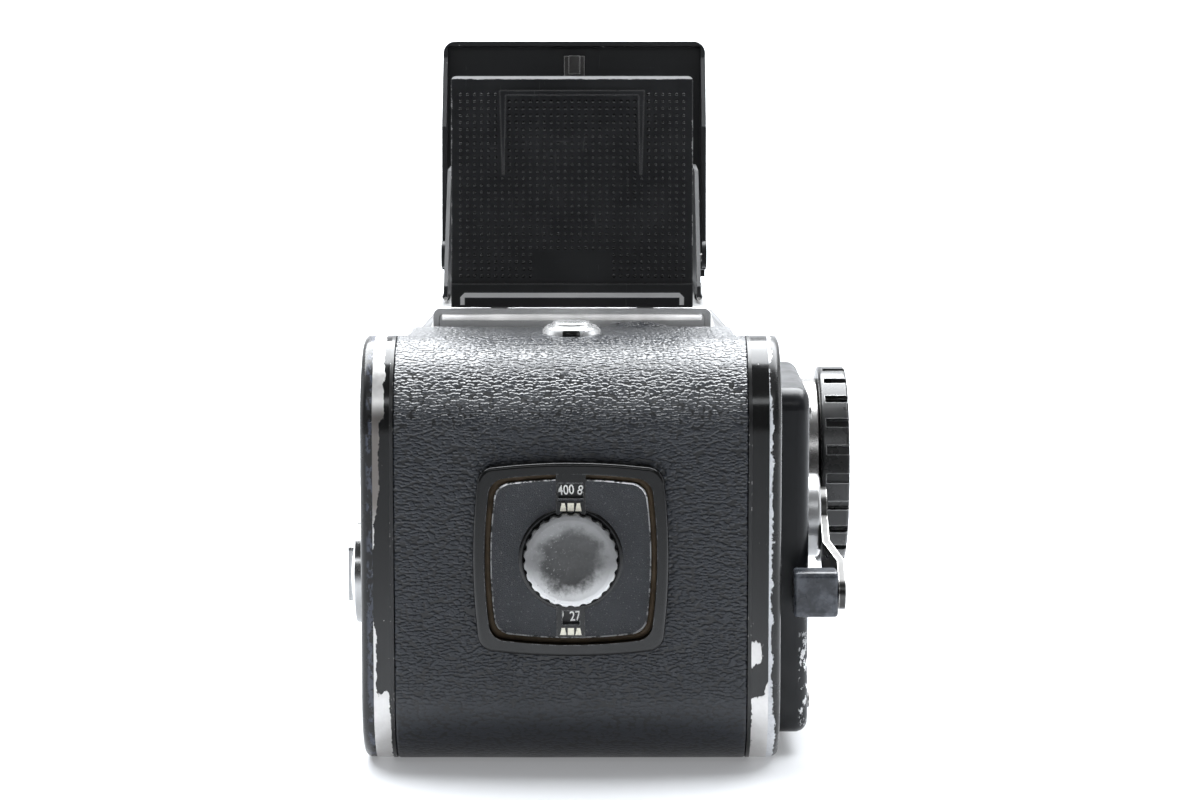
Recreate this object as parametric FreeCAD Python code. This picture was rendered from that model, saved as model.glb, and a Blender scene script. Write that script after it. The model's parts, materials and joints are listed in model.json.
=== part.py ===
import FreeCAD, Part

import math
import os

# A medium-format reflex camera with a folding waist-level hood and a removable roll-film magazine.
# Millimetres. +Z is up, the lens looks along -Y, the magazine is at +Y.
# Shapes are drawn about a datum RISE above the underside, and main() lifts them all by RISE, so that
# the origin is the mouth of the tripod socket, on the underside of the body.

Vector = FreeCAD.Vector
X_AXIS = Vector(1, 0, 0)
Y_AXIS = Vector(0, 1, 0)
Z_AXIS = Vector(0, 0, 1)

# ---- driving dimensions -------------------------------------------------------------------------
RUN = 0.05            # radial clearance of a running fit
GAP = 0.1             # clearance between neighbouring pieces
THIN = 1.2            # sheet metal

# body
RISE = 3.6            # height of the datum above the underside
FOOT = -RISE
CAST_HALF = 43.0      # half width of the casting
SIDE_HALF = 47.0      # half width over the side covers and over the magazine
BODY_FRONT = -50.0
PLATE_FRONT = -52.0
BODY_REAR = 20.0
BASE = 2.0            # thickness of the base plate
BASE_TOP = FOOT + BASE
CAST_TOP = 90.0
COVER_TOP = 91.7      # the flat top of the body
SHOULDER_HALF = 32.6  # half width of the flat top, where the sloping shoulders start
SHOULDER_DROP = 1.12  # drop of a shoulder for each millimetre outwards
WELL_HALF = 31.5      # the well in the deck for the screen frame
WELL_Y = (-48.5, 17.0)
REAR_WALL_HALF = 30.9 # the low wall at the deck's rear, inside the finder base
REAR_WALL_TOP = 95.6
CHAMBER_HALF = 32.0
CHAMBER_FRONT = -47.5
CHAMBER_REAR = 12.0
CHAMBER_FLOOR = 12.0
LENS_Z = 48.0         # height of the optical axis
GATE_HALF = 28.0      # the picture gate is 56 square

# tripod socket
BUSH_RADIUS = 7.0
SOCKET_RADIUS = 3.4
SOCKET_DEPTH = 7.0
BUSH_HEIGHT = 10.0

# mirror
MIRROR_HINGE = Vector(0, 7.5, 84.0)
MIRROR_LENGTH = 54.0
MIRROR_HALF = 26.0
MIRROR_ANGLE = 45.0
MIRROR_PIN_HALF = 36.5

# shutter
ROLLER_Y = 16.6
ROLLER_RADIUS = 2.2
ROLLER_HALF = 34.8
ROLLER_AXLE_HALF = 38.4
ROLLER_LOW_Z = 12.0
ROLLER_HIGH_Z = 82.5
POCKET_HALF = 35.5    # the pocket in the casting that holds the shutter
POCKET_LOW = 8.0
POCKET_HIGH = 86.5

# small controls on the front
RELEASE_X = -34.0
RELEASE_Z = 14.0
LUG_Y = -47.9
LUG_Z = 66.0

# winding side
HOUSING_OUT = -54.2
HOUSING_FRONT = -46.0
HOUSING_REAR = 44.0
HOUSING_LOW = 0.8
HOUSING_TOP = 81.0
HOUSING_SWEEP = 38.0  # radius of the housing's upper front corner
CRANK_Y = 27.0
CRANK_Z = 49.5
CRANK_TEETH = 24
SHUTTER_TEETH = 48
DIAL_Y = -3.0
DIAL_Z = 57.0
DIAL_RADIUS = 23.5
DIAL_RIBS = 22
BOSS_RADIUS = 20.7
HANDLE_REACH = 28.7
HANDLE_ANGLE = -28.6

# finder and hood
FINDER_HALF = 32.3
FINDER_LOW = COVER_TOP + GAP
FINDER_TOP = 97.0
HOOD_LID_AXIS = Vector(0, -42.0, 103.5)
HOOD_REAR_AXIS = Vector(0, 18.2, 100.4)
FLAP_AXIS_X = 29.7
FLAP_AXIS_Z = 98.6
LID_HALF = 33.1
LID_TOP = 158.2
LID_OFFSET = 14.0
LID_LEAN = 6.0
REAR_HALF = 28.1
REAR_TOP = 150.8
REAR_LEAN = 4.0
FLAP_HEIGHT = 28.5

# magazine
MAG_FRONT = 20.3
MAG_SHELL_FRONT = 23.0
MAG_REAR = 62.0
MAG_TOP = 93.2
MAG_TOP_RADIUS = 20.0
MAG_LOW_RADIUS = 17.0
LEATHER = 1.0
LEATHER_HALF = 39.6
SHELL_HALF = 40.4
FRAME_HALF = 46.5     # half width of the plate that meets the body
BAND_HALF = 44.2
CORNER_START = 36.8   # the magazine's top front corners slope down outside this half width
CORNER_DROP = 3.4
SPOOL_Y = 43.0
SPOOL_LOW_Z = 20.5
SPOOL_HIGH_Z = 71.0
FILM_DIAL_Z = 45.3
BEZEL_HALF = 22.0
PLATE_HALF = 17.95
BUTTON_Y = 37.0
KEY_Y = 42.0
KEY_Z = 38.6

# lens
LENS_RADIUS = 27.0
FOCUS_RADIUS = 31.0

PARTS = {}


# ---- helpers --------------------------------------------------------------------------------------
def block(x, y, z):
    """A box from three (low, high) pairs."""
    size = [high - low for low, high in (x, y, z)]
    return Part.makeBox(size[0], size[1], size[2], Vector(x[0], y[0], z[0]))


def rod(centre, direction, radius, length):
    return Part.makeCylinder(radius, length, centre, direction)


def tube(centre, direction, outer, inner, length):
    return rod(centre, direction, outer, length).cut(rod(centre, direction, inner, length))


def fuse(first, *rest):
    solid = first.fuse(list(rest)) if rest else first
    return solid.removeSplitter()


def face_of(points):
    return Part.Face(Part.makePolygon(points + [points[0]]))


def prism_x(points, low, high):
    """A (y, z) outline run from x = low to x = high."""
    return face_of([Vector(low, y, z) for y, z in points]).extrude(X_AXIS * (high - low))


def prism_y(points, low, high):
    """An (x, z) outline run from y = low to y = high."""
    return face_of([Vector(x, low, z) for x, z in points]).extrude(Y_AXIS * (high - low))


def prism_z(points, low, high):
    """An (x, y) outline run from z = low to z = high."""
    return face_of([Vector(x, y, low) for x, y in points]).extrude(Z_AXIS * (high - low))


def turned(shape, point, axis, degrees):
    copy = shape.copy()
    copy.rotate(point, axis, degrees)
    return copy


def rounded(shape, radius, wanted):
    """Rounds the edges that wanted(edge) picks."""
    edges = [edge for edge in shape.Edges if wanted(edge)]
    return shape.makeFillet(radius, edges)


def along(edge, axis):
    """True for a straight edge that runs along axis."""
    if not isinstance(edge.Curve, Part.Line):
        return False
    return abs(abs(edge.tangentAt(edge.FirstParameter).dot(axis)) - 1) < 1e-6


def keep(name, *shapes):
    """Files one sub-part, of one solid or of a group of separate solids."""
    PARTS[name] = shapes[0] if len(shapes) == 1 else Part.makeCompound(list(shapes))


# ---- body -------------------------------------------------------------------------------------------
def below_shoulders(shape):
    """Slopes off the upper corners of the body."""
    reach = 30.0
    high = COVER_TOP + reach
    low = COVER_TOP - SHOULDER_DROP * reach
    far = SHOULDER_HALF + reach
    outline = [(SHOULDER_HALF, COVER_TOP), (far, low), (far, high), (SHOULDER_HALF, high)]
    wedges = []
    for side in (-1, 1):
        mirrored = [(side * x, z) for x, z in outline]
        wedges.append(prism_y(mirrored, PLATE_FRONT - 1, BODY_REAR + 1))
    return shape.cut(wedges)


def body_casting():
    casting = block((-CAST_HALF, CAST_HALF), (BODY_FRONT, BODY_REAR), (BASE_TOP, CAST_TOP))
    chamber = block(
        (-CHAMBER_HALF, CHAMBER_HALF), (CHAMBER_FRONT, CHAMBER_REAR), (CHAMBER_FLOOR, CAST_TOP)
    )
    throat = rod(Vector(0, BODY_FRONT, LENS_Z), Y_AXIS, 26.0, CHAMBER_FRONT - BODY_FRONT)
    gate = block(
        (-GATE_HALF, GATE_HALF),
        (CHAMBER_REAR, BODY_REAR),
        (LENS_Z - GATE_HALF, LENS_Z + GATE_HALF),
    )
    shutter_pocket = block((-POCKET_HALF, POCKET_HALF), (14, BODY_REAR), (POCKET_LOW, POCKET_HIGH))
    bush_hole = rod(Vector(0, 0, BASE_TOP), Z_AXIS, BUSH_RADIUS, BUSH_HEIGHT - BASE)
    mirror_hole = rod(
        Vector(-MIRROR_PIN_HALF, MIRROR_HINGE.y, MIRROR_HINGE.z), X_AXIS, 1.5, 2 * MIRROR_PIN_HALF
    )
    axle_hole_half = ROLLER_AXLE_HALF + GAP
    roller_holes = [
        rod(Vector(-axle_hole_half, ROLLER_Y, z), X_AXIS, 1.2 + RUN, 2 * axle_hole_half)
        for z in (ROLLER_LOW_Z, ROLLER_HIGH_Z)
    ]
    tools = [chamber, throat, gate, shutter_pocket, bush_hole, mirror_hole] + roller_holes
    keep("body_casting", below_shoulders(casting.cut(tools)))


def front_plate():
    plate = block((-CAST_HALF, CAST_HALF), (PLATE_FRONT, BODY_FRONT), (BASE_TOP, CAST_TOP))
    plate = rounded(plate, 3.0, lambda edge: along(edge, Y_AXIS))
    throat = rod(Vector(0, PLATE_FRONT, LENS_Z), Y_AXIS, 26.0, BODY_FRONT - PLATE_FRONT)
    release_hole = rod(Vector(RELEASE_X, PLATE_FRONT, RELEASE_Z), Y_AXIS, 4.0 + RUN, 2.0)
    slot = block((32.4, 36.1), (PLATE_FRONT, BODY_FRONT), (40, 52))
    keep("front_plate", below_shoulders(plate.cut([throat, release_hole, slot])))


def release_button():
    """Pressed inwards by 2, towards +Y."""
    head = rod(Vector(RELEASE_X, PLATE_FRONT - 3, RELEASE_Z), Y_AXIS, 5.0, 0.9)
    stem = rod(Vector(RELEASE_X, PLATE_FRONT - 2.1, RELEASE_Z), Y_AXIS, 4.0, 2.0)
    keep("release_button", fuse(rounded(head, 0.3, lambda edge: True), stem))


def lens_release_lever():
    """Slides down by 3 to free the lens."""
    stem = block((32.5, 36), (PLATE_FRONT + 0.3, BODY_FRONT), (44, 51.5))
    thumb = block((31, 37.5), (PLATE_FRONT - 2.6, PLATE_FRONT - GAP), (43.5, 52))
    thumb = rounded(thumb, 0.8, lambda edge: along(edge, X_AXIS))
    neck = block((33, 35.5), (PLATE_FRONT - 0.5, PLATE_FRONT + 0.5), (45, 51))
    keep("lens_release_lever", fuse(stem, thumb, neck))


def base_plate():
    plate = block((-CAST_HALF, CAST_HALF), (BODY_FRONT, BODY_REAR), (FOOT, BASE_TOP))
    plate = rounded(plate, 1.2, lambda edge: edge.BoundBox.ZMax < FOOT + 0.01)
    keep("base_plate", plate.cut(rod(Vector(0, 0, FOOT), Z_AXIS, BUSH_RADIUS, BASE)))


def tripod_bush():
    bush = rod(Vector(0, 0, FOOT), Z_AXIS, BUSH_RADIUS, BUSH_HEIGHT)
    keep("tripod_bush", bush.cut(rod(Vector(0, 0, FOOT), Z_AXIS, SOCKET_RADIUS, SOCKET_DEPTH)))


def side_covers():
    for name, sign, out in (("left_side_cover", 1, SIDE_HALF), ("right_side_cover", -1, SIDE_HALF + GAP)):
        x = sorted((sign * CAST_HALF, sign * out))
        cover = block(x, (BODY_FRONT, BODY_REAR), (BASE_TOP, CAST_TOP))
        outer = sign * out
        cover = rounded(
            cover,
            1.5,
            lambda edge: abs(edge.BoundBox.XMin - outer) < 0.01 and abs(edge.BoundBox.XMax - outer) < 0.01,
        )
        keep(name, below_shoulders(cover))


def top_cover():
    """A thin deck with a well for the screen frame, and a low wall behind that the finder fits round."""
    deck = below_shoulders(block((-CAST_HALF, CAST_HALF), (PLATE_FRONT, BODY_REAR), (CAST_TOP, COVER_TOP)))
    wall = block((-REAR_WALL_HALF, REAR_WALL_HALF), (18.0, BODY_REAR), (CAST_TOP, REAR_WALL_TOP))
    wall = rounded(wall, 1.0, lambda edge: along(edge, Y_AXIS) and edge.BoundBox.ZMin > CAST_TOP + 1)
    well = block((-WELL_HALF, WELL_HALF), WELL_Y, (CAST_TOP, COVER_TOP))
    keep("top_cover", fuse(deck, wall).cut(well))


def focusing_unit():
    frame = block((-31.4, 31.4), (-48.4, 16.9), (CAST_TOP, 93.4))
    light = block((-27.8, 27.8), (-43.0, 10.8), (CAST_TOP, 93.4))
    rebate = block((-29.1, 29.1), (-44.4, 12.2), (91.5, 93.4))
    keep("screen_frame", frame.cut([light, rebate]))
    keep("focusing_screen", block((-29, 29), (-44.3, 12.1), (91.5, 93.3)))


def mirror_unit():
    """Drawn in its raised, level position and then turned down by 45 degrees."""
    hinge = MIRROR_HINGE
    plate_y = (hinge.y - MIRROR_LENGTH, hinge.y)
    plate = block((-MIRROR_HALF, MIRROR_HALF), plate_y, (hinge.z - 1, hinge.z + 1))
    barrel = rod(Vector(-MIRROR_HALF, hinge.y, hinge.z), X_AXIS, 2.6, 2 * MIRROR_HALF)
    bore = rod(Vector(-MIRROR_HALF, hinge.y, hinge.z), X_AXIS, 1.5 + RUN, 2 * MIRROR_HALF)
    carrier = fuse(plate, barrel).cut(bore)
    glass = block(
        (-MIRROR_HALF + 0.5, MIRROR_HALF - 0.5),
        (hinge.y - MIRROR_LENGTH + 0.5, hinge.y - 3.2),
        (hinge.z + 1, hinge.z + 3),
    )
    keep("mirror_carrier", turned(carrier, hinge, X_AXIS, MIRROR_ANGLE))
    keep("mirror_glass", turned(glass, hinge, X_AXIS, MIRROR_ANGLE))
    pin = rod(Vector(-MIRROR_PIN_HALF, hinge.y, hinge.z), X_AXIS, 1.5, 2 * MIRROR_PIN_HALF)
    keep("mirror_hinge_pin", pin)


def shutter_unit():
    half = POCKET_HALF - GAP
    frame = block((-half, half), (19.0, BODY_REAR), (POCKET_LOW + GAP, POCKET_HIGH - GAP))
    gate = block((-GATE_HALF, GATE_HALF), (19, BODY_REAR), (LENS_Z - GATE_HALF, LENS_Z + GATE_HALF))
    keep("shutter_frame", frame.cut(gate))
    low = ROLLER_LOW_Z + ROLLER_RADIUS + 0.5
    high = ROLLER_HIGH_Z - ROLLER_RADIUS - 0.5
    curtains = [block((-34, 34), (y, y + 0.4), (low, high)) for y in (16.0, 17.0)]
    keep("shutter_curtains", *curtains)
    for name, z in (("lower_curtain_roller", ROLLER_LOW_Z), ("upper_curtain_roller", ROLLER_HIGH_Z)):
        core = rod(Vector(-ROLLER_HALF, ROLLER_Y, z), X_AXIS, ROLLER_RADIUS, 2 * ROLLER_HALF)
        axle = rod(Vector(-ROLLER_AXLE_HALF, ROLLER_Y, z), X_AXIS, 1.2, 2 * ROLLER_AXLE_HALF)
        keep(name, fuse(core, axle))


def strap_lugs():
    lugs = []
    left = Vector(SIDE_HALF, LUG_Y, LUG_Z)
    right = Vector(-SIDE_HALF - GAP, LUG_Y, LUG_Z)
    for start, direction in ((left, X_AXIS), (right, X_AXIS * -1)):
        post = rod(start, direction, 1.2, 3.2)
        head = rod(start + direction * 2.0, direction, 1.8, 1.2)
        lugs.append(fuse(post, head))
    keep("strap_lugs", *lugs)


# ---- winding side -----------------------------------------------------------------------------------
HOUSING_WALL_IN = -52.2
HOUSING_IN = -SIDE_HALF - 0.2
MECHANISM_OUT = HOUSING_IN - 1.2
GEAR_OUT = -51.2
GEAR_IN = MECHANISM_OUT - 0.4
SHAFT_RADIUS = 3.0
SCREW_HEAD = 1.7
SCREW_SHANK = 0.9
GEAR_MODULE = 2 * math.hypot(CRANK_Y - DIAL_Y, CRANK_Z - DIAL_Z) / (CRANK_TEETH + SHUTTER_TEETH)


def screw_places():
    """Near the four corners of the winding side's cover, on its outer face."""
    corners = ((HOUSING_FRONT + 6, 8.0), (HOUSING_REAR - 6, 8.0), (HOUSING_REAR - 6, 75.0), (-35.0, 61.0))
    return [Vector(HOUSING_OUT, y, z) for y, z in corners]


def housing_solid(inset, x_low, x_high):
    """The winding side's outline, drawn inset. Its upper front corner is swept."""
    front = HOUSING_FRONT + inset
    rear = HOUSING_REAR - inset
    low = HOUSING_LOW + inset
    top = HOUSING_TOP - inset
    sweep = HOUSING_SWEEP - inset
    turn = math.sqrt(0.5)
    corner = Vector(x_low, front + sweep - sweep * turn, top - sweep + sweep * turn)
    outline = ((front, top - sweep), (front, low), (rear, low), (rear, top), (front + sweep, top))
    points = [Vector(x_low, y, z) for y, z in outline]
    edges = [Part.makeLine(start, end) for start, end in zip(points, points[1:])]
    edges.append(Part.Arc(points[-1], corner, points[0]).toShape())
    return Part.Face(Part.Wire(edges)).extrude(X_AXIS * (x_high - x_low))


def cover_screws():
    screws = []
    for place in screw_places():
        head = rod(place, X_AXIS * -1, SCREW_HEAD, 0.6)
        head = rounded(head, 0.25, lambda edge: edge.BoundBox.XMax < HOUSING_OUT - 0.5)
        shank = rod(place, X_AXIS, SCREW_SHANK, 1.9)
        slot_x = (HOUSING_OUT - 1, HOUSING_OUT - 0.3)
        slot = block(slot_x, (place.y - 2, place.y + 2), (place.z - 0.22, place.z + 0.22))
        slot = turned(slot, place, X_AXIS, 17.0 * place.z + place.y)
        screws.append(fuse(head, shank).cut(slot))
    keep("cover_screws", *screws)


def winding_housing():
    shell = housing_solid(0.0, HOUSING_OUT, HOUSING_IN)
    square = ((HOUSING_FRONT, HOUSING_LOW), (HOUSING_REAR, HOUSING_LOW), (HOUSING_REAR, HOUSING_TOP))
    shell = rounded(
        shell,
        5.0,
        lambda edge: along(edge, X_AXIS)
        and any(abs(edge.BoundBox.YMin - y) + abs(edge.BoundBox.ZMin - z) < 0.01 for y, z in square),
    )
    shell = rounded(shell, 2.8, lambda edge: edge.BoundBox.XMax < HOUSING_OUT + 0.01)
    cavity = housing_solid(2.0, HOUSING_WALL_IN, HOUSING_IN)
    crank_hole = rod(Vector(HOUSING_OUT, CRANK_Y, CRANK_Z), X_AXIS, SHAFT_RADIUS + RUN, 3)
    dial_hole = rod(Vector(HOUSING_OUT, DIAL_Y, DIAL_Z), X_AXIS, SHAFT_RADIUS + RUN, 3)
    screw_holes = [rod(place, X_AXIS, SCREW_SHANK + 0.02, 2) for place in screw_places()]
    keep("winding_side_housing", shell.cut([cavity, crank_hole, dial_hole] + screw_holes))

    plate = housing_solid(2.0 + GAP, MECHANISM_OUT, HOUSING_IN)
    post = rod(Vector(MECHANISM_OUT, DIAL_Y, DIAL_Z), X_AXIS * -1, SHAFT_RADIUS, 3.2)
    bearing = rod(Vector(MECHANISM_OUT, CRANK_Y, CRANK_Z), X_AXIS, 2.0 + RUN, 2)
    keep("mechanism_plate", fuse(plate, post).cut(bearing))


def gear(centre_y, centre_z, teeth, phase, x_low, x_high, bore):
    """A spur gear whose first tooth points at phase degrees from +Y towards +Z."""
    pitch = GEAR_MODULE * teeth / 2
    tip = pitch + 0.75 * GEAR_MODULE
    root = pitch - 1.1 * GEAR_MODULE
    step = 2 * math.pi / teeth
    profile = ((root, -0.27), (tip, -0.12), (tip, 0.12), (root, 0.27))
    points = []
    for tooth in range(teeth):
        for radius, share in profile:
            angle = math.radians(phase) + (tooth + share) * step
            points.append((centre_y + radius * math.cos(angle), centre_z + radius * math.sin(angle)))
    blank = prism_x(points, x_low, x_high)
    return blank.cut(rod(Vector(x_low, centre_y, centre_z), X_AXIS, bore, x_high - x_low))


def gear_train():
    """The wind gear drives the shutter gear. A tooth of one points into a gap of the other."""
    line = math.degrees(math.atan2(DIAL_Z - CRANK_Z, DIAL_Y - CRANK_Y))
    half_step = 180.0 / SHUTTER_TEETH
    keep("wind_gear", gear(CRANK_Y, CRANK_Z, CRANK_TEETH, line, GEAR_OUT, GEAR_IN, SHAFT_RADIUS))
    phase = line + 180 + half_step
    shutter = gear(DIAL_Y, DIAL_Z, SHUTTER_TEETH, phase, GEAR_OUT, GEAR_IN, SHAFT_RADIUS + RUN)
    centre = Vector(0, DIAL_Y, DIAL_Z)
    window = rod(Vector(GEAR_OUT, DIAL_Y + 12, DIAL_Z), X_AXIS, 4.0, 3)
    windows = [turned(window, centre, X_AXIS, 72.0 * number) for number in range(5)]
    keep("shutter_gear", shutter.cut(windows))


def speed_dial():
    x_inner = -58.4
    x_outer = -65.1
    boss = rod(Vector(HOUSING_OUT, DIAL_Y, DIAL_Z), X_AXIS * -1, BOSS_RADIUS, 4.1)
    boss = rounded(boss, 0.5, lambda edge: edge.BoundBox.XMax < -58.2)
    shaft_hole = rod(Vector(HOUSING_OUT, DIAL_Y, DIAL_Z), X_AXIS * -1, SHAFT_RADIUS + RUN, 5)
    keep("speed_dial_boss", boss.cut(shaft_hole))

    knob = rod(Vector(x_inner, DIAL_Y, DIAL_Z), X_AXIS * -1, DIAL_RADIUS, x_inner - x_outer)
    knob = rounded(knob, 0.8, lambda edge: edge.Length > 100)
    rim_y = DIAL_Y + DIAL_RADIUS
    notch = block((x_outer - 1, x_inner - 1.2), (rim_y - 1.3, rim_y + 2), (DIAL_Z - 1.1, DIAL_Z + 1.1))
    centre = Vector(0, DIAL_Y, DIAL_Z)
    notches = [turned(notch, centre, X_AXIS, 360.0 * number / DIAL_RIBS) for number in range(DIAL_RIBS)]
    recess = rod(Vector(x_outer, DIAL_Y, DIAL_Z), X_AXIS, 17.5, 1.0)
    mark = rod(Vector(x_outer + 3.2, DIAL_Y, DIAL_Z + DIAL_RADIUS - 2), Z_AXIS, 0.9, 4)
    mark = turned(mark, centre, X_AXIS, 180.0 / DIAL_RIBS)
    shaft = rod(Vector(-52.6, DIAL_Y, DIAL_Z), X_AXIS * -1, SHAFT_RADIUS, 8)
    keep("speed_dial", fuse(knob.cut(notches + [recess, mark]), shaft))


def crank():
    hub_start = HOUSING_OUT - GAP
    hub = rod(Vector(hub_start, CRANK_Y, CRANK_Z), X_AXIS * -1, 9.7, 3.1)
    hub = rounded(hub, 0.8, lambda edge: edge.BoundBox.XMax < -57.3)
    shaft = rod(Vector(GEAR_IN + 0.1, CRANK_Y, CRANK_Z), X_AXIS * -1, SHAFT_RADIUS, 7)
    journal = rod(Vector(HOUSING_IN - 0.1, CRANK_Y, CRANK_Z), X_AXIS * -1, 2.0, 2)
    keep("crank_hub", fuse(hub, shaft, journal))

    inner = -57.4
    thick = 1.6
    rise = 2.9
    bar_outline = [
        (inner, CRANK_Y), (inner, CRANK_Y + 15), (inner - rise, CRANK_Y + 22),
        (inner - rise, CRANK_Y + HANDLE_REACH), (inner - rise - thick, CRANK_Y + HANDLE_REACH),
        (inner - rise - thick, CRANK_Y + 21.5), (inner - thick, CRANK_Y + 14.5), (inner - thick, CRANK_Y),
    ]
    bar = prism_z(bar_outline, CRANK_Z - 3.8, CRANK_Z + 3.8)
    root = rod(Vector(inner, CRANK_Y, CRANK_Z), X_AXIS * -1, 6.5, thick)
    end = rod(Vector(inner - rise, CRANK_Y + HANDLE_REACH, CRANK_Z), X_AXIS * -1, 3.8, thick)
    pin = rod(Vector(-50.6, CRANK_Y + HANDLE_REACH, CRANK_Z), X_AXIS * -1, 1.5, 10)
    centre = Vector(0, CRANK_Y, CRANK_Z)
    keep("crank_arm", turned(fuse(bar, root, end, pin), centre, X_AXIS, HANDLE_ANGLE))

    angle = math.radians(HANDLE_ANGLE)
    pin_y = CRANK_Y + HANDLE_REACH * math.cos(angle)
    pin_z = CRANK_Z + HANDLE_REACH * math.sin(angle)
    grip = block((-60.2, -50.2), (pin_y - 3.8, pin_y + 3.8), (pin_z - 5.2, pin_z + 5.2))
    grip = rounded(grip, 1.3, lambda edge: along(edge, X_AXIS))
    grip = rounded(grip, 0.8, lambda edge: edge.BoundBox.XLength < 0.01)
    keep("crank_handle", grip.cut(rod(Vector(-50, pin_y, pin_z), X_AXIS * -1, 1.5 + RUN, 12)))


# ---- finder and folding hood --------------------------------------------------------------------------
def finder_base():
    """A bright frame that drops over the screen frame, and round the low wall behind it."""
    frame = block((-FINDER_HALF, FINDER_HALF), (BODY_FRONT, BODY_REAR), (FINDER_LOW, FINDER_TOP))
    frame = rounded(frame, 1.6, lambda edge: along(edge, Y_AXIS) and edge.BoundBox.ZMin > FINDER_TOP - 0.01)
    pocket = block((-WELL_HALF, WELL_HALF), WELL_Y, (FINDER_LOW, 93.5))
    opening = block((-27.5, 27.5), (-42.0, 11.0), (FINDER_LOW, FINDER_TOP))
    wall_half = REAR_WALL_HALF + GAP
    wall_room = block((-wall_half, wall_half), (17.9, BODY_REAR), (FINDER_LOW, REAR_WALL_TOP + GAP))
    wall_room = rounded(wall_room, 1.0, lambda edge: along(edge, Y_AXIS) and edge.BoundBox.ZMin > 95)
    frame = frame.cut([pocket, opening, wall_room])
    pieces = []
    for side in (-1, 1):
        x = sorted((side * 29.9, side * 31.4))
        ear_y = (HOOD_LID_AXIS.y - 3, HOOD_LID_AXIS.y + 2.6)
        ear = block(x, ear_y, (FINDER_TOP - 1, HOOD_LID_AXIS.z + 2.5))
        pieces.append(rounded(ear, 2.2, lambda edge: along(edge, X_AXIS) and edge.BoundBox.ZMin > 105))
        x = sorted((side * 15.0, side * 19.0))
        knuckle_y = (HOOD_REAR_AXIS.y - 1.3, HOOD_REAR_AXIS.y + 1.2)
        pieces.append(block(x, knuckle_y, (FINDER_TOP - 0.5, HOOD_REAR_AXIS.z + 0.4)))
    base = fuse(frame, *pieces)
    lid_hole = rod(Vector(-32, HOOD_LID_AXIS.y, HOOD_LID_AXIS.z), X_AXIS, 1.0, 64)
    rear_hole = rod(Vector(-28, HOOD_REAR_AXIS.y, HOOD_REAR_AXIS.z), X_AXIS, 0.6, 56)
    keep("finder_base", base.removeSplitter().cut([lid_hole, rear_hole]))

    pins = [rod(Vector(-27, HOOD_REAR_AXIS.y, HOOD_REAR_AXIS.z), X_AXIS, 0.6, 54)]
    for side in (-1, 1):
        start = Vector(side * 29.9, HOOD_LID_AXIS.y, HOOD_LID_AXIS.z)
        pins.append(rod(start, X_AXIS * side, 1.0, LID_HALF - 29.9))
        pins.append(rod(Vector(side * FLAP_AXIS_X, -36, FLAP_AXIS_Z), Y_AXIS, 0.45, 50))
    keep("hood_hinge_pins", *pins)


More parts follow.
